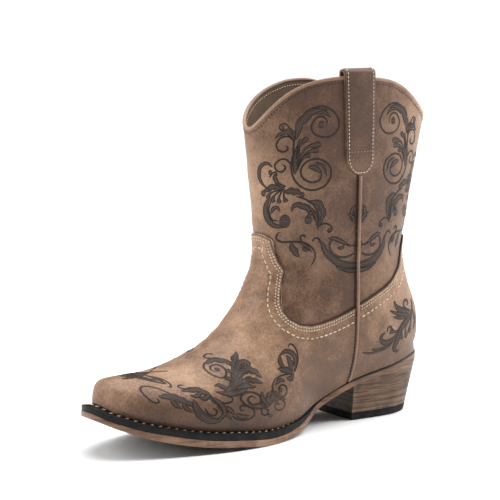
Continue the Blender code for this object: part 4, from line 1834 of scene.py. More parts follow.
@dataclass
class SideSeam:
    """The raised cord on a side seam, with a sewn row in front of it."""

    upper: Upper
    skin: BVHTree
    seam_x: float = SEAM_X
    cord: float = 0.0022
    ease: float = 0.0001
    foot: float = 0.0020
    row_off: float = 0.0020
    panel_z: float = 0.0848
    reach: float = 0.08
    steps: int = 110

    def spot(self, x: float, z: float, side: Side) -> tuple[Vector, Vector]:
        """A place on the upper's outer face and the way out of it."""
        sign = side.value
        return self.skin.ray_cast(Vector((x, sign * self.reach, z)), Vector((0.0, -sign, 0.0)))[:2]

    def build(self, side: Side, low: float, high: float, finish: Material, thread: Thread,
              stitch: Stitch) -> Piece:
        """The cord and its stitches.

        Args:
            side: the side that it is on.
            low: height of its foot.
            high: height of its top.
            finish: the cord's finish.
            thread: what sews the row.
            stitch: the row's stitch.

        Returns:
            The cord.
        """
        radius = self.cord / 2
        line, row, ways = [], [], []
        for z in np.linspace(low + self.foot, high, self.steps):
            place, normal = self.spot(self.seam_x, z, side)
            level = Vector((0.0, normal.y, normal.z)).normalized()
            line.append(place + level * (self.upper.gap + self.ease + radius))
            place, normal = self.spot(self.seam_x + self.row_off, z, side)
            over = self.upper.gap + self.upper.overlay if z < self.panel_z else 0.0
            row.append(place + normal * over)
            ways.append(normal)
        thread.sew(np.array(row), np.array(ways), stitch)
        name = side.name.lower()
        node = f"side_seam_{name}"
        bm = Workshop.tube(np.array(line), radius, False)
        return Workshop.finish(bm, f"seam_cord_{name}", (finish,), node, (node,), toned_and_shaded=True)


class StrapRing(NamedTuple):
    """One cross section of the pull strap."""

    z: float
    out: float
    angle: float
    half: float


@dataclass
class PullStrap:
    """The pull strap: up the outer side, over the collar in a loop and down inside."""

    seam: SideSeam
    width: float = 0.0245
    thickness: float = 0.0020
    foot_z: float = 0.1800
    lean: float = 0.0325
    flare: float = 0.0125
    rise: float = 0.0075
    cross_z: float = 0.1965
    inside: float = 0.0400
    ease: float = 0.0007
    wall: float = WALL
    gap: float = GAP
    binding: float = BINDING
    round_over: float = 0.0006
    rim_share: float = 0.45  # of half the thickness, left at the rim
    row_in: float = 0.0021
    row_from: float = 0.0010
    row_turn: float = 2.0  # radians over the loop
    row_half: float = 0.0022
    cross_share: float = 0.78
    columns: int = 15

    @cached_property
    def reach(self) -> tuple[float, float]:
        """Height of the collar's outer side and of the strap's straight leg.

        Returns:
            The two heights.
        """
        collar = self.seam.upper.collar()[0]
        collar = collar[collar[:, 1] > 0]
        middle = self.seam.seam_x + self.lean * (collar[:, 2].max() - self.foot_z)
        near = collar[np.abs(collar[:, 0] - middle) < self.width]
        return float(collar[:, 2].max()), float(near[:, 2].min()) - self.binding

    def rings(self) -> list[StrapRing]:
        """Sections of the strap from its rounded foot to its end inside.

        Returns:
            The sections.
        """
        collar_z, leg_z = self.reach
        half, core = self.width / 2, self.thickness / 2
        made = []
        for turn in np.linspace(0, math.pi / 2, 13)[1:]:
            z = self.foot_z + half * (1 - math.cos(turn))
            made.append(StrapRing(z, self.gap + core, 0.0, half * math.sin(turn)))
        first = self.foot_z + half
        for z in np.linspace(first, leg_z, 25)[1:]:
            off = max(self.gap, self.ease * (z - first) / (leg_z - first))
            made.append(StrapRing(z, off + core, 0.0, half))
        radius = self.wall / 2 + self.ease + core
        arch = collar_z + self.rise - radius - core
        for angle in np.linspace(0, math.pi, 21):
            out = radius * math.cos(angle) - self.wall / 2
            made.append(StrapRing(arch + radius * math.sin(angle), out, angle, half))
        for z in np.linspace(leg_z, collar_z - self.inside, 9):
            made.append(StrapRing(z, -self.wall - self.ease - core, math.pi, half))
        return made

    def spot(self, ring: StrapRing, share: float) -> Vector:
        """A place across the middle of the strap's leather, which widens upward.

        Args:
            ring: the section.
            share: place across it, from -1 to 1.

        Returns:
            The place.
        """
        up = ring.z - self.foot_z
        spread = ring.half * (1 + 2 * self.flare * up / self.width)
        x = self.seam.seam_x + self.lean * up + share * spread
        y = self.seam.spot(x, min(ring.z, self.reach[1]), Side.OUTER)[0].y
        return Vector((x, y + ring.out, ring.z))

    def build(self, finish: Material, thread: Thread, faint: Thread, stitch: Stitch) -> Piece:
        """The strap and its stitches.

        Args:
            finish: the strap's finish.
            thread: what sews its sides.
            faint: what sews across it.
            stitch: the stitch.

        Returns:
            The strap.
        """
        core = self.thickness / 2
        made, left, right, ways = [], [], [], []
        for ring in self.rings():
            push = Vector((0.0, math.cos(ring.angle), math.sin(ring.angle)))
            front, back = [], []
            for share in np.linspace(-1, 1, self.columns):
                spot = self.spot(ring, share)
                worn = max(abs(share) * ring.half - ring.half + self.round_over, 0) / self.round_over
                full = self.rim_share + (1 - self.rim_share) * math.sqrt(max(1 - worn, 0.0))
                front.append(np.array(spot + push * core * full))
                back.append(np.array(spot - push * core))
            made.append(front + back[::-1])
            if ring.angle < self.row_turn and ring.z > self.foot_z + self.row_from:
                inset = 1 - self.row_in / max(ring.half, self.row_half)
                for row, share in ((left, -inset), (right, inset)):
                    row.append(self.spot(ring, share) + push * core)
                ways.append(push)
        cross = StrapRing(self.cross_z, self.gap + core, 0.0, self.width / 2)
        across = np.linspace(-self.cross_share, self.cross_share, 24)
        band = [self.spot(cross, share) + Vector((0.0, core, 0.0)) for share in across]
        faint.sew(np.array(band), np.repeat([[0.0, 1.0, 0.0]], len(band), axis=0), stitch)
        rows = left[::-1] + right
        thread.sew(np.array(rows), np.array(ways[::-1] + ways), stitch)
        node = "pull_strap"
        piece = Workshop.finish(Workshop.solid(made), "strap_loop", (finish,), node, (node,), 45.0, True)
        rims = [np.array([ring[place] for ring in made]) for place in (0, self.columns - 1)]
        Workshop.record_edge(piece, np.vstack([resample(rim, 400) for rim in rims]))
        return piece


INK_LAYERS = ("rim_mm", "vein_mm", "hatch_mm")
vine, blade, leaf, drop, bead = (kind.line for kind in Stroke)

# Shaft: millimetres round from the side seam, and height
SHAFT_LINES = (
    vine(1.2, 52, 190, 51, 208, 47, 220, 40, 227, 31, 229, 22.5, 225, 18, 217.5, 21, 210.5, 28, 207.5,
        36, 209.5, 39.3, 215, 36, 220.8, 31, 222, 27.5, 218.5, 28.5, 214.5),
    bead(4.6, 34.2, 216.5, 29.6, 216.5),
    leaf(6.2, 50, 206, 48, 215.5, 43, 222.5, 36, 226, 27, 226.5, lobes=3),
    blade(2.4, 36, 224, 30, 225, 24.5, 221),
    vine(1.2, 51, 200, 53, 188, 50.5, 178.5, 44, 172.5, 36, 171, 28, 174, 23.8, 181, 25.5, 188, 33, 192.5,
        41, 191.5, 46, 186, 44.5, 179.5, 38, 176.4, 32, 178.6, 31, 184),
    blade(3.8, 41, 187.2, 36, 186.6, 31, 182.6),
    blade(1.7, 36, 190.3, 29.5, 187.5, 27.2, 180.5),
    blade(4.6, 50.5, 182, 49.4, 194, 48, 205),
    drop(3.6, 49.5, 193, 47, 202, 41.5, 208),
    drop(4.2, 49.5, 190, 42.5, 200.5, 31.5, 203),
    drop(3.6, 49, 188, 42.5, 197, 33, 199.2),
    drop(3.2, 48.5, 186, 44.5, 193.5, 38.8, 195.6),
    drop(2.8, 49.5, 196, 48, 203, 45.5, 206.5),
    vine(1.1, 51, 202, 52.2, 206.3, 56, 208.6, 61, 207.4, 63.5, 203, 62, 199, 58, 198, 55.4, 200.3,
        57, 202.3),
    leaf(3.8, 50.5, 206, 55, 211.3, 60, 210.8, 65, 207, lobes=3),
    leaf(3.2, 50, 208, 54, 213, 58.5, 212.2, lobes=2),
    vine(1.0, 52, 210, 55, 215, 58.5, 217.6, 61.6, 215.5, 60.5, 213, 58.4, 213.8),
    bead(2.2, 60.3, 215, 58.1, 215),
    vine(1.1, 53, 189, 56.5, 192.6, 61, 192.4, 64.3, 188.5, 62.5, 184.6, 58.6, 184.4, 57, 187.4,
        59.6, 189.4),
    blade(2.8, 65.5, 187, 70, 190, 75, 187, 76, 180.5, 73, 175, 67, 171),
    bead(3.0, 69, 183.6, 66, 183.6),
    leaf(3.4, 64.5, 183, 63.5, 178, 60, 174, lobes=2),
    vine(1.0, 68, 180, 66, 183, 63.5, 183.6, 62.6, 181),
    leaf(4.4, 59, 171.5, 65, 173.5, 73.5, 168.5, lobes=3),
    bead(4.0, 74.5, 168.6, 70.5, 168.6),
    drop(3.4, 59, 172, 64.5, 167, 65.5, 162),
    drop(3.4, 58.5, 172, 61, 166, 60.6, 161.6),
    drop(3.4, 57.5, 171.5, 57.5, 166.5, 55.6, 162.6),
    drop(3.0, 59, 172, 67, 169, 69.5, 164.5),
    leaf(4.0, 57, 172, 62, 174.5, 56, 173.8, lobes=2),
    leaf(5.0, 58, 170, 51, 170.5, 43.5, 168, lobes=3),
    bead(3.4, 46.5, 168, 43.1, 168),
    vine(1.2, 49, 167, 42, 164.5, 36, 160, 32.5, 153, 32.5, 143),
    blade(4.0, 67, 167.5, 70.5, 159, 69.3, 151.5, 64, 146.3, 57, 145.8, 53, 149),
    bead(8.2, 60.5, 149.3, 52.3, 149.3),
    vine(0.9, 66.5, 164, 68, 157, 65.5, 150.5, 61, 149.5),
    blade(2.6, 66.5, 154, 64.5, 158.4, 61.4, 158.6, 60.4, 155.8),
    leaf(5.0, 41, 163, 33, 161.5, 29.3, 155, 31, 146, lobes=3),
    leaf(4.6, 52, 156, 50.5, 160.3, 44, 160, 37, 155, 33.5, 147, lobes=4),
    blade(2.6, 40, 160, 35, 153.5, 33.5, 145),
    bead(5.6, 42.8, 150.2, 37.2, 150.2),
    blade(2.6, 40, 151, 38.5, 155, 35, 155.5),
    vine(1.1, 32.5, 145, 28, 147.2, 23.5, 145.6, 21.8, 142.4, 24, 140.6, 25.8, 142.6),
    bead(2.4, 25.2, 142.4, 22.8, 142.4),
    vine(1.2, 58.5, 141.5, 61, 140.5, 61.5, 136.5, 57, 134.5, 49.5, 134.8, 42, 134, 36.4, 130.4,
        33.9, 125.5, 34.6, 120.8, 36.6, 117.6),
    blade(2.0, 47, 135, 40.5, 131.5, 36, 126.5),
    leaf(5.0, 51.5, 134, 49.5, 129, 45, 123.4, lobes=2),
    blade(2.4, 43.5, 131.4, 41, 128.8, 38.3, 128.6),
    vine(1.0, 44, 135, 45, 138, 42.7, 139.3, 41, 137.5),
    vine(1.3, 36.2, 134.4, 34.6, 136.8, 31.6, 136.4, 30, 133),
    blade(5.0, 32, 136.6, 28.4, 132, 26.4, 127.4, 21.6, 122.6, 14.5, 118, 6, 116, -4, 115.8, -14, 117.4),
    blade(3.2, 18, 116, 11, 113.2, 3, 111.8, -6, 111.9, -14, 113.8),
    vine(1.4, 3, 124.4, 7, 122.6, 12.7, 122, 18.2, 123.9, 22, 127.3, 23.2, 130.8, 22.2, 134, 19.6, 135.7,
        15.6, 134.8, 11.6, 132.4, 7.6, 130.3, 2.4, 129.8),
    blade(3.2, 24.4, 136, 20, 136, 14.4, 133.8, 7.6, 130),
    blade(2.2, 17.4, 129.4, 13.4, 128.8, 11.4, 131.6),
    blade(2.0, 3.2, 133, 2.4, 130, 2.8, 127),
    leaf(4.0, 1.6, 145, 5.5, 150, 5.6, 156, 2, 159, lobes=3),
    leaf(2.8, 2, 147.5, 6.5, 151.4, 10, 153, lobes=2),
    blade(2.4, 1.4, 148, 2.6, 153, 1.8, 157),
)

# Heel counter: millimetres round from the side seam, behind it below zero, and height
COUNTER_LINES = (
    vine(1.6, -7, 51.5, -13.5, 50, -20, 50.2, -27, 51.2, -32, 52.6, -36, 56, -40.7, 61.8, -45.5, 65.8,
        -51.5, 69.3, -58.5, 73, -63, 75.5),
    vine(1.5, -15.5, 53, -20.3, 52, -27, 52.6, -33, 54.4, -38, 59),
    leaf(6.4, -66, 76, -58, 71, -50, 66, -42, 60.5, lobes=4),
    blade(4.0, -40, 60, -32, 56, -26, 57, -23.8, 60.2, -25.6, 62.8, -28.6, 63.2),
    drop(5.0, -43, 63, -38.5, 63, -32.4, 64.8),
    vine(1.1, -36, 64, -33.4, 67.6, -30.2, 66.6, -29.8, 63.8),
    blade(4.4, -46, 65.5, -42.5, 58, -39.2, 52, -39.8, 48.8, -42.5, 47.9, -44.6, 49.4),
    drop(5.4, -48.5, 66.5, -47.4, 61, -46.6, 55.6),
    drop(5.6, -55, 69.5, -53.2, 62, -54.6, 56),
    drop(4.6, -62, 73, -60.4, 65, -59, 58.4),
    leaf(5.0, -66, 74, -69, 67, -67, 60, lobes=2),
    blade(4.6, -58, 75, -48, 77, -40, 81, -36.2, 86.4),
    blade(2.8, -55, 73.4, -47, 74.6, -39.3, 76.5, -31.5, 79.7),
    blade(2.8, -54, 71.6, -47, 72.2, -41, 73, -36, 74.2),
    vine(1.9, -60, 75.4, -53, 77.4, -49.4, 79.8, -48.8, 83, -52, 84.6, -55.4, 82, -53, 80.4),
    blade(2.8, -62, 75, -63.4, 80, -60.4, 84),
)

# Vamp: millimetres forward from the back of the heel, and millimetres up the leather from the sole
VAMP_LINES = (
    vine(1.2, 178, 50, 181, 58, 187, 61.7, 194, 60, 198, 54.5, 197, 47.5, 192, 43, 187.5, 45, 186, 50.5,
        189, 55.6, 193.3, 55, 194.8, 51, 192, 48),
    bead(3.4, 192.7, 51, 189.3, 51),
    leaf(5.6, 196.5, 58, 190, 60.6, 184, 58.6, 177.5, 50, lobes=3),
    vine(1.1, 185, 61.5, 190.8, 64, 191.8, 67.2, 188.3, 69.3, 186.2, 66.4),
    leaf(5.6, 179, 48, 177, 56, 172.5, 64, lobes=3),
    leaf(5.2, 179, 47, 174, 54, 169.5, 52.4, 170.5, 47.5, lobes=3),
    leaf(6.2, 181, 41.5, 174, 47.4, 168, 46, 163, 39.5, lobes=4),
    leaf(5.2, 183, 37, 173, 39.6, 163, 35.8, lobes=4),
    leaf(4.6, 186, 33, 178, 35.3, 169, 33.8, lobes=3),
    leaf(8.0, 178, 55, 180, 45, 184, 37, 194, 30.5, lobes=4),
    blade(4.2, 176, 33, 184, 30.5, 192, 29.6, 200, 31.5),
    leaf(3.6, 181, 45, 184, 48.6, 187, 47, lobes=2),
    leaf(3.6, 184, 39, 187, 42, 190, 41.6, lobes=2),
    leaf(3.8, 191, 32.5, 195, 36.4, 199, 36.4, lobes=2),
    vine(1.1, 206, 33, 214, 36, 219, 35, 222.5, 37.3, 220, 39, 218, 37.8),
    leaf(5.2, 203, 27.5, 211, 33.6, 222.5, 33, lobes=3),
    blade(3.4, 209, 32, 213.5, 28.4, 217.5, 29.4),
    blade(3.6, 204, 30, 208.5, 26.4, 212.5, 26.8),
    blade(6.0, 216, 26, 215.3, 17, 210, 11, 203, 9.6, 196.5, 12.5),
    blade(3.6, 204, 28, 198, 21, 197, 14.5, 203, 9.8),
    vine(1.0, 210, 19, 208, 14.5, 204, 13.5, 202, 17, 204.5, 19),
    leaf(4.8, 206, 28, 199.5, 22, 195.5, 15, 191.5, 10, lobes=3),
    vine(1.0, 199, 23, 194, 22.6, 190, 24, 189.5, 27, 192.2, 27),
    blade(3.4, 197, 19, 193, 18, 189.5, 13.5),
    vine(1.2, 192, 13.5, 187, 10.5, 180.5, 10, 174.5, 13, 174.5, 17.5, 179, 20, 184, 20.5, 184.6, 17.4,
        182, 17),
    blade(3.4, 189, 14.5, 183, 12.3, 177.5, 13.5),
    vine(1.2, 157, 22, 164, 18.5, 173, 18.5, 180.5, 21.5, 183, 26.5, 178, 30.5, 171, 29.5, 167, 25,
        170, 21.5, 175.5, 21.5, 178, 25, 174.5, 27.5, 171.5, 25.5),
    leaf(3.8, 164, 20.5, 166.3, 25.5, 166, 30.5, lobes=2),
    leaf(3.8, 161, 21, 161.4, 26, 157, 30, lobes=2),
    leaf(6.0, 169, 20, 160, 23.5, 152, 23.5, 146, 20.5, lobes=4),
    leaf(4.2, 160, 22, 156, 26.4, 150.5, 26.4, lobes=3),
    vine(1.0, 150, 21.5, 146.5, 18.5, 149, 14.8, 154, 15, 156.5, 18, 154, 20, 151.8, 18),
    vine(0.9, 168, 18.5, 167.5, 14, 164, 12.8, 162, 16, 165, 17.5),
    blade(1.8, 162.5, 13.5, 160, 11.8, 157.5, 12),
    vine(0.9, 138.6, 57, 136.4, 59, 133.6, 57, 131.5, 51, 132, 44, 136, 38),
    blade(3.6, 146.5, 52.5, 140.5, 54.6, 134.8, 50.5, 134, 43, 137, 37.5),
    blade(3.2, 146, 53.5, 146.4, 47, 143, 41),
    leaf(5.2, 140, 37, 138.3, 45, 141, 52, lobes=3),
    leaf(4.8, 138, 37, 142, 40.6, 150, 44, lobes=3),
    leaf(4.2, 136.5, 37.5, 140, 34.6, 144, 36, lobes=2),
    vine(1.1, 138, 37.5, 146, 38.5, 153, 37, 156.5, 32.5, 155.5, 26.5, 150, 23, 145, 25.5, 145, 30,
        149, 32, 152, 29.5, 150.5, 27),
    bead(3.2, 151.6, 28.6, 148.4, 28.6),
    blade(2.8, 154.5, 33, 149.5, 35.6, 145, 33.5),
    leaf(5.2, 229, 60.5, 241, 58.5, 255, 53, lobes=4),
    vine(1.1, 236, 60, 228, 60, 219, 57.5),
    blade(3.0, 252, 50.5, 244, 47, 237, 43, 228.5, 39.5),
    blade(2.6, 250, 53.5, 244, 51.5, 239, 47.5, 233, 43.5),
    vine(1.2, 246, 55, 240.5, 54, 241, 51, 237, 47.5),
    leaf(3.4, 236, 53, 232, 46.5, 228.5, 40, lobes=3),
    vine(1.3, 238.5, 54, 233, 50.5, 229, 46.5, 226.6, 41, 227, 37, 229.5, 36.6),
    vine(1.2, 219, 22, 228, 28, 237, 33.5, 244.5, 34.5, 248.5, 30, 247, 23.5, 243, 18.8, 239.5, 20,
        240.5, 24),
    leaf(7.0, 239, 25, 229, 26, 221, 22.5, 214, 19.5, lobes=5),
    blade(3.4, 231, 24, 229.4, 19.5, 225.5, 16.5),
    blade(3.4, 224, 22, 222.8, 18, 218.5, 15),
)


@dataclass
class Ornament:
    """Scrolls and leaves dyed on the shaft, the counter and the vamp."""

    upper: Upper
    leathers: tuple[BVHTree, ...]
    seam_x: float = SEAM_X
    core_x: float = 0.070
    lift: float = 0.00008
    weight: float = 1.12
    levels: int = 106
    angles: int = 191
    low_z: float = 0.040
    high_z: float = 0.250
    leg_x: float = 0.08
    leg_z: float = 0.085
    leg_core_x: float = 0.075
    foot_core_z: float = 0.02
    start: float = 0.26
    overlap: float = 0.3  # radians past the middle, in front and behind
    margin: float = 0.2
    vamp_end: int = 11
    rounds: int = 8
    step_lobed: float = 0.45
    step_plain: float = 0.8
    layers: int = 7
    layer_rise: float = 0.25
    hatch_lean: float = 1.6

    def __post_init__(self) -> None:
        """Measure the leather round each level."""
        self.charts = {side: self.chart(side) for side in Side}

    def chart(self, side: Side) -> tuple[Array, Array]:
        """Round each level: millimetres from the seam, and the leather's places with the way out of it.

        Args:
            side: the side.

        Returns:
            The millimetres, and the places with their ways out.
        """
        angles = np.linspace(math.pi + self.overlap, -self.overlap, self.angles)
        found = np.full((self.levels, self.angles, 6), np.nan)
        for level, z in enumerate(np.linspace(self.low_z, self.high_z, self.levels)):
            core = Vector((self.core_x, 0.0, z))
            for column, angle in enumerate(angles):
                way = Vector((math.cos(angle), math.sin(angle) * side.value, 0.0))
                for leather in self.leathers:
                    place, normal = leather.ray_cast(core + way * self.start, -way)[:2]
                    if place is not None and (place - core).dot(way) > 0:
                        found[level, column] = (*place, *(normal if normal.dot(way) > 0 else -normal))
                        break
        for column in range(self.angles):
            kept = np.flatnonzero(~np.isnan(found[:, column, 0]))
            for axis in range(6 if len(kept) else 0):
                found[:, column, axis] = np.interp(np.arange(self.levels), kept, found[kept, column, axis])
        flat = np.nan_to_num(found)
        steps = np.linalg.norm(np.diff(flat[:, :, :3], axis=1), axis=2)
        run = np.hstack([np.zeros((self.levels, 1)), np.cumsum(steps, axis=1)])
        flank = (angles < math.pi - self.margin) & (angles > self.margin)
        for level in range(self.levels):
            run[level] -= np.interp(self.seam_x, flat[level, flank, 0], run[level, flank])
        return run * 1000, flat

    def on_shaft(self, spots: Array, side: Side) -> tuple[Array, Array]:
        """Places and ways out of spots given round from the seam and by height.

        Args:
            spots: the spots, in millimetres.
            side: the side.

        Returns:
            The places and the ways.
        """
        run, flat = self.charts[side]
        rise = (spots[:, 1] / 1000 - self.low_z) / (self.high_z - self.low_z)
        level = np.clip(rise, 0, 1) * (self.levels - 1)
        below = np.clip(np.floor(level).astype(int), 0, self.levels - 2)
        made, numbers = np.zeros((len(spots), 6)), np.arange(self.angles)
        for row in np.unique(below):
            here = below == row
            part = level[here] - row
            for near, weight in ((row, 1 - part), (row + 1, part)):
                column = np.interp(spots[here, 0], run[near], numbers)
                found = [np.interp(column, numbers, values) for values in flat[near].T]
                made[here] += weight[:, None] * np.stack(found, axis=1)
        return made[:, :3], made[:, 3:]

    def on_vamp(self, spots: Array, side: Side) -> tuple[Array, Array]:
        """Places and ways out of spots given forward and up the leather from the sole.

        Args:
            spots: the spots, in millimetres.
            side: the side.

        Returns:
            The places and the ways.
        """
        last, over = self.upper.last, self.upper.gap + self.upper.overlay
        rows = np.linspace(0, self.vamp_end, 441)
        low = last.girths(rows)[:, 2]
        turns = np.linspace(-1, 0.2, 97) * side.value
        places = np.interp(-spots[:, 0] / 1000, -low, rows)
        for _ in range(self.rounds):
            grid_t, grid_u = np.meshgrid(places, turns, indexing="ij")
            lines = last.bare(grid_t.ravel(), grid_u.ravel()).reshape(len(places), len(turns), 3)
            run = np.cumsum(np.linalg.norm(np.diff(lines, axis=1), axis=2), axis=1)
            run = np.hstack([np.zeros((len(places), 1)), run])
            column = [np.interp(up / 1000, row, np.arange(len(turns))) for up, row in zip(spots[:, 1], run)]
            round_by = np.interp(column, np.arange(len(turns)), turns)
            ahead = last.bare(places, round_by)[:, 0] - np.interp(places, rows, low)
            places = np.interp(ahead - spots[:, 0] / 1000, -low, rows)
        ways = last.normals(places, round_by)
        return last.points(places, round_by) + ways * over, ways

    @staticmethod
    def swell(kind: Stroke, share: Array) -> Array:
        """Width along a stroke as a share of its widest.

        Args:
            kind: the kind of stroke.
            share: shares of its length.

        Returns:
            The share of the width at each.
        """
        if kind is Stroke.VINE:
            return np.clip(np.minimum(share, 1 - share) * 9 + 0.25, 0, 1)
        if kind is Stroke.BEAD:
            return np.sqrt(np.clip(1 - (2 * share - 1) ** 2, 0, 1))
        if kind in (Stroke.BLADE, Stroke.LEAF):
            return np.maximum(np.sin(math.pi * share ** 0.85), 0) ** 0.8
        thin = 0.28 + 0.12 * share
        bulb = np.sqrt(np.clip(1 - ((share - 0.86) / 0.14) ** 2, 0, 1))
        return np.where(share > 0.86, bulb, thin + (1 - thin) * np.clip((share - 0.45) / 0.41, 0, 1) ** 1.6)

    @staticmethod
    def lobed(share: Array, lobes: int, phase: float) -> Array:
        """How far a leaf's edge stands out along it, drawn in between its lobes.

        Args:
            share: shares of its length.
            lobes: number of lobes.
            phase: shift of the lobes.

        Returns:
            The share of the width at each.
        """
        if not lobes:
            return np.ones_like(share)
        return 0.55 + 0.45 * np.sqrt(np.abs(np.sin(math.pi * (share * lobes + phase))))

    def draw(self, bm: BMesh, lines: Sequence[Line], where: Callable, side: Side, mirror: float,
             reach: float) -> None:
        """Lay strokes on the leather.

        Args:
            bm: the edit mesh that takes them.
            lines: the strokes.
            where: finds places on the last from spots of a stroke.
            side: the side of the boot.
            mirror: 1, or -1 to draw them behind the seam.
            reach: how far they spread on the inner side, as a share of the outer side.
        """
        rim, vein, hatch = (bm.verts.layers.float[name] for name in INK_LAYERS)
        spread = mirror * (reach if side is Side.INNER else 1.0)
        for number, line in enumerate(lines):
            path = np.array(line.points, float) * np.array((spread, 1.0))
            length = line_length(smooth_curve(path, 60))
            columns = int(np.clip(length / (self.step_lobed if line.lobes else self.step_plain), 10, 90))
            middle = smooth_curve(path, columns + 1)
            ahead = np.gradient(middle, axis=0)
            ahead /= np.linalg.norm(ahead, axis=1)[:, None]
            across = np.stack([-ahead[:, 1], ahead[:, 0]], axis=1)
            shares = np.linspace(0, 1, columns + 1)
            half = line.width * self.weight / 2 * self.swell(line.kind, shares)
            left, right = (half * self.lobed(shares, line.lobes, phase) for phase in (0.0, 0.5))
            corners, flat = Workshop.grid(bm, columns, 2 if line.kind is Stroke.VINE else 4)
            column = np.rint(flat[:, 0] * columns).astype(int)
            half = np.where(flat[:, 1] > 0, left[column], right[column])
            off = half * flat[:, 1]
            spots = middle[column] + across[column] * off[:, None]
            places, ways = where(spots, side)
            points = places + ways * self.lift * (1 + self.layer_rise * (number % self.layers))
            for index, (corner, point) in enumerate(zip(corners, points)):
                corner.co = point
                corner[rim] = half[index] - abs(off[index])
                corner[vein] = off[index]
                corner[hatch] = length * flat[index, 0] + self.hatch_lean * abs(off[index])

    def build(self, name: str, lines: Sequence[Line], where: Callable, mirrors: Sequence[float], reach: float,
              finish: Material, slot: str) -> Piece:
        """One part's ornament on both sides as a piece.

        Args:
            name: the piece's name.
            lines: the strokes.
            where: finds places from spots.
            mirrors: 1 ahead of the seam, -1 behind it.
            reach: spread on the inner side.
            finish: its finish.
            slot: a name passed on to Workshop.finish, which does not use it.

        Returns:
            The piece.
        """
        bm = bmesh.new()
        for layer in INK_LAYERS:
            bm.verts.layers.float.new(layer)
        for side in Side:
            for mirror in mirrors:
                self.draw(bm, lines, where, side, mirror, reach)
        bm.normal_update()
        for face in bm.faces:
            if face.normal.dot(self.upper_way(face.calc_center_median())) < 0:
                face.normal_flip()
        return Workshop.finish(bm, name, (finish,), slot, sharp=80.0)

    def upper_way(self, spot: Vector) -> Vector:
        """Roughly the way out of the boot at a spot."""
        on_leg = spot.z > self.leg_z or spot.x < self.leg_x
        return spot - Vector((self.leg_core_x, 0, spot.z) if on_leg else (spot.x, 0, self.foot_core_z))


@dataclass
class Studio:
    """Floor, light and camera."""

    azimuth: float = 144.0
    elevation: float = 8.5
    distance: float = 1.2545
    lens: float = 129.02
    room: float = 0.08
    ceiling: float = 3.4
    target: tuple[float, float, float] = (0.0098, -0.0011, 0.1283)

    def camera(self) -> None:
        """The camera at the photograph's angle."""
        data = bpy.data.cameras.new("camera")
        data.lens, data.sensor_width = self.lens, 36.0
        data.clip_start, data.clip_end = 0.05, 100.0
        item = Workshop.put("camera", data)
        turn, lift = math.radians(self.azimuth), math.radians(self.elevation)
        back = Vector((math.sin(turn) * math.cos(lift), -math.cos(turn) * math.cos(lift), math.sin(lift)))
        item.location = Vector(self.target) + back * self.distance
        item.rotation_mode = "QUATERNION"
        item.rotation_quaternion = (-back).to_track_quat("-Z", "Y")
        bpy.context.scene.camera = item

    def floor(self) -> None:
        """A plain pale floor."""
        bm = bmesh.new()
        bmesh.ops.create_grid(bm, x_segments=4, y_segments=4, size=40.0)
        bmesh.ops.translate(bm, verts=bm.verts, vec=(0.0, 0.0, -0.0002))
        mesh = Workshop.mesh(bm, "floor")
        material, _, shader = Finish.start("floor_paper")
        shader.inputs["Base Color"].default_value = (0.95, 0.95, 0.95, 1.0)
        shader.inputs["Roughness"].default_value = 0.9
        mesh.materials.append(material)
        item = Workshop.put("floor", mesh)

    def light(self, name: str, place: Sequence[float], size: tuple[float, float], power: float) -> None:
        """One soft box that faces the boot.

        Args:
            name: the light's name.
            place: where it is.
            size: its width and height.
            power: its watts.
        """
        data = bpy.data.lights.new(name, "AREA")
        data.shape, data.size, data.size_y, data.energy = "RECTANGLE", size[0], size[1], power
        item = Workshop.put(name, data)
        item.location = place
        item.rotation_euler = (Vector(self.target) - Vector(place)).to_track_quat("-Z", "Y").to_euler()

    def lights(self) -> None:
        """Soft light from above and both sides, and a white room."""
        world = bpy.data.worlds.new("room")
        world.use_nodes = True
        sky = world.node_tree.nodes["Background"]
        sky.inputs["Color"].default_value = (1.0, 1.0, 1.0, 1.0)
        sky.inputs["Strength"].default_value = self.room
        bpy.context.scene.world = world
        data = bpy.data.lights.new("ceiling", "SUN")
        data.energy, data.angle = self.ceiling, math.radians(60.0)
        item = Workshop.put("ceiling", data)
        item.rotation_euler = Vector((0.15, 0.10, -1.0)).to_track_quat("-Z", "Y").to_euler()
        self.light("left_box", (1.25, -0.55, 1.00), (0.9, 1.2), 20.0)
        self.light("right_box", (-1.15, 0.45, 1.15), (0.9, 1.2), 24.0)
        bpy.context.scene.view_settings.view_transform = "Standard"


CUT_LOW, CUT_FRONT, CUT_REAR = -0.02, 0.30, -0.03
VAMP_OUTLINE = tuple(EdgePoint(*spot) for spot in (
    (SEAM_X + SEAM_SLOT / 2, CUT_LOW), (SEAM_X + SEAM_SLOT / 2, 0.0850), (0.0893, 0.0812),
    (0.0992, 0.0784), (0.1080, 0.0766), (0.1174, 0.0758), (0.1260, 0.0774), (0.1330, 0.0818),
    (0.1360, 0.0870), (0.1362, 0.0925), (0.1335, 0.1028), (0.1300, 0.1147), (0.1326, 0.1210),
    (0.1342, 0.1282), (0.1352, 0.1356), (0.1393, 0.1395), (CUT_FRONT, 0.1395), (CUT_FRONT, CUT_LOW),
))
COUNTER_OUTLINE = tuple(EdgePoint(*spot) for spot in (
    (SEAM_X - SEAM_SLOT / 2, CUT_LOW), (SEAM_X - SEAM_SLOT / 2, 0.0868), (0.0595, 0.0931),
    (0.0500, 0.0972), (0.0418, 0.1018), (0.0321, 0.1092), (0.0240, 0.1187), (0.0170, 0.1290),
    (CUT_REAR, 0.1330), (CUT_REAR, CUT_LOW),
))

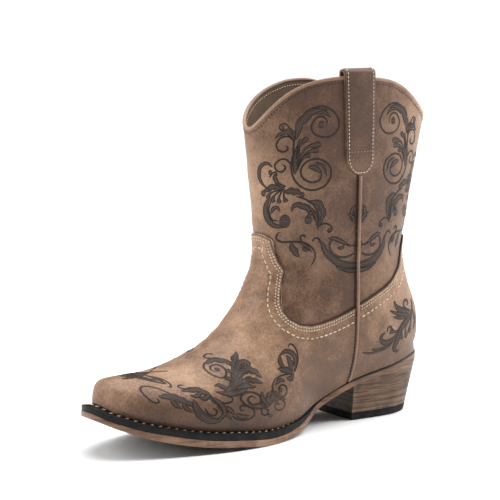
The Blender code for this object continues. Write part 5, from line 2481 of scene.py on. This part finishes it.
FINE_STITCH = Stitch(0.0016, 0.0010, 0.0007, 0.0022, 18.0)
LONG_STITCH = Stitch(0.0032, 0.0011, 0.0008, 0.0041)
COLLAR_STITCH = Stitch(0.0018, 0.0008, 0.0006, 0.0026)
SEAM_STITCH = Stitch(0.0016, 0.0013, 0.0009, 0.0026)
WELT_STITCH = Stitch(0.0034, 0.0009, 0.0009, 0.0057, 20.0)

# How far sewn rows lie from an edge
PANEL_ROWS = ((0.0016, FINE_STITCH), (0.0036, FINE_STITCH), (0.0090, LONG_STITCH))
RIM_ROW, LINING_ROW, COLLAR_COUNT = 0.0019, 0.0024, 500
# Where the painted shadow line lies in front of the side seam, and the x of the heel stack's rear, where its
# painted shade is fullest.
SEAM_GROOVE_SHADE, HEEL_REAR_SHADE = 0.0016, 0.004


def main() -> None:
    """Build the boot's pieces in order and light them."""
    logging.basicConfig(level=logging.INFO, format="%(name)s %(message)s")
    studio = Studio()
    studio.camera()
    shaft_leather = LeatherFinish("shaft_leather", srgb(44, 29, 21), srgb(90, 62, 45), srgb(141, 109, 85),
                                  srgb(178, 145, 118), groove_shade_x=SEAM_X + SEAM_GROOVE_SHADE - MIDDLE.x).make()
    panel_rows = tuple(1000 * reach for reach, _ in PANEL_ROWS)
    panel_leather = LeatherFinish("panel_leather", srgb(56, 38, 29), srgb(110, 81, 61), srgb(168, 133, 105),
                                  srgb(196, 164, 135), edge=True, rows_mm=panel_rows,
                                  groove_shade_x=SEAM_X + SEAM_GROOVE_SHADE - MIDDLE.x).make()
    strap_leather = LeatherFinish("strap_leather", srgb(46, 31, 23), srgb(83, 58, 43), srgb(124, 93, 73),
                                  srgb(168, 138, 114), sheen=0.05, edge=True,
                                  rows_mm=(1000 * PullStrap.row_in,)).make()
    cord_leather = LeatherFinish("cord_leather", srgb(96, 72, 57), srgb(142, 110, 89), srgb(176, 143, 119),
                                 srgb(206, 176, 150), pebbles=1400.0).make()
    # Dark dye of the panels' cut edges, also used as painted shade along the step where a panel meets the
    # upper.
    cut_edge_and_shade = PlainFinish("cut_edge_and_shade", srgb(38, 26, 20), srgb(58, 41, 32), 0.6, 1400.0, 0.2).make()
    lining = PlainFinish("lining", srgb(97, 80, 66), srgb(124, 104, 87), 0.8, 1400.0, 0.3).make()
    ink = InkFinish("ornament_dye", srgb(20, 14, 12), srgb(41, 33, 31), srgb(112, 87, 72)).make()
    cream = ThreadFinish("cream_thread", srgb(222, 202, 176), srgb(182, 156, 130)).make()
    tan_thread = ThreadFinish("tan_thread", srgb(150, 122, 100), srgb(112, 88, 72)).make()
    brown = ThreadFinish("brown_thread", srgb(40, 28, 22), srgb(56, 40, 32)).make()
    sole_tan = SoleFinish("sole_edge", srgb(82, 56, 40), srgb(164, 121, 91), 900.0, 0.4, 0.5, 0.3,
                          heel=srgb(134, 101, 77), heel_end=Sole.breast_x - MIDDLE.x,
                          under=srgb(104, 92, 82)).make()
    stack = SoleFinish("heel_stack_edge", srgb(60, 40, 27), srgb(136, 101, 74), 620.0, 0.6, 0.5, 0.5,
                       layers=240.0, rear=HEEL_REAR_SHADE - MIDDLE.x).make()
    welt_black = PlainFinish("welt_black", srgb(6, 6, 7), srgb(14, 14, 15), 0.5, 1100.0, 0.2, 0.06).make()
    rubber = PlainFinish("rubber", srgb(15, 15, 17), srgb(24, 24, 25), 0.6, 1600.0, 0.2, 0.06).make()
    board = PlainFinish("insole_board", srgb(134, 110, 86), srgb(160, 134, 106), 0.85, 1300.0, 0.3).make()

    last = LastShape()
    upper = Upper(last)
    skin_piece = upper.build(shaft_leather, lining)
    skin = Workshop.tree(skin_piece)
    upper.build_binding(cord_leather)
    vamp = Panel("vamp_panel", "vamp", VAMP_OUTLINE, upper, first=0.0, final=12.5, rows=130, columns=170,
                 seam_x=VAMP_OUTLINE[0].x, join_x=0.0992, spans=((-0.85, 0.85),), skin=skin)
    counter = Panel("counter_panel", "heel_counter", COUNTER_OUTLINE, upper, first=7.5, final=16.5, rows=90,
                    columns=170, seam_x=COUNTER_OUTLINE[0].x, join_x=0.0418,
                    spans=((-0.4, -1.0), (1.0, 0.4)), skin=skin)
    vamp_piece = vamp.build(panel_leather, "vamp")
    counter_piece = counter.build(panel_leather, "heel_counter")

    sole = Sole(last)
    sole.build_outsole(sole_tan)
    sole.build_welt(welt_black)
    sole.build_heel(stack, rubber)
    sole.build_insole(board)

    thread, strong = Thread(), Thread()
    sole.sew_welt(strong, WELT_STITCH)
    strong.build("welt_stitches", cream, "welt")
    for panel, piece in ((vamp, vamp_piece), (counter, counter_piece)):
        panel.build_edge(cut_edge_and_shade)
        panel.sew(thread, Workshop.tree(piece))
    thread.build("upper_stitches", cream, "upper")
    row, below = upper.collar(COLLAR_COUNT)
    rim_thread, lining_thread = Thread(), Thread()
    rim_thread.sew(*inset_line(row, below - row, skin, RIM_ROW), COLLAR_STITCH)
    rim_thread.build("collar_stitches", brown, "upper")
    around = np.linspace(-1, 1, COLLAR_COUNT, endpoint=False)
    ways = -last.normals(np.full(COLLAR_COUNT, last.end - Upper.below), around)
    down = (below - row) / np.linalg.norm(below - row, axis=1)[:, None]
    lining_thread.sew(row + down * LINING_ROW + ways * upper.wall, ways, COLLAR_STITCH)
    lining_thread.build("lining_stitches", cream, "upper")

    seam_thread, strap_thread, cross_thread = Thread(), Thread(), Thread()
    seam = SideSeam(upper, skin)
    strap = PullStrap(seam)
    spots = [spot.place for spot in sole.edge(Side.OUTER)]
    feather = float(np.interp(SEAM_X, [spot.x for spot in spots], [spot.z for spot in spots]))
    inner_top = float(row[row[:, 1] < 0][:, 2].max()) - upper.binding
    seam.build(Side.OUTER, feather, strap.foot_z - 2 * upper.gap, cord_leather, seam_thread, SEAM_STITCH)
    seam.build(Side.INNER, feather, inner_top, cord_leather, seam_thread, SEAM_STITCH)
    seam_thread.build("seam_stitches", brown, "upper")
    strap.build(strap_leather, strap_thread, cross_thread, COLLAR_STITCH)
    cross_thread.build("strap_cross_stitches", tan_thread, "pull_strap")
    strap_thread.build("strap_stitches", cream, "pull_strap")

    ornament, rear = Ornament(upper, (skin,)), Ornament(upper, (Workshop.tree(counter_piece), skin))
    ornament.build("shaft_ornament", SHAFT_LINES, ornament.on_shaft, (1.0, -1.0), 0.86, ink, "upper")
    rear.build("counter_ornament", COUNTER_LINES, rear.on_shaft, (1.0,), 1.0, ink, "heel_counter")
    ornament.build("vamp_ornament", VAMP_LINES, ornament.on_vamp, (1.0,), 1.0, ink, "vamp")

    studio.floor()
    studio.lights()


if __name__ == "__main__":
    main()
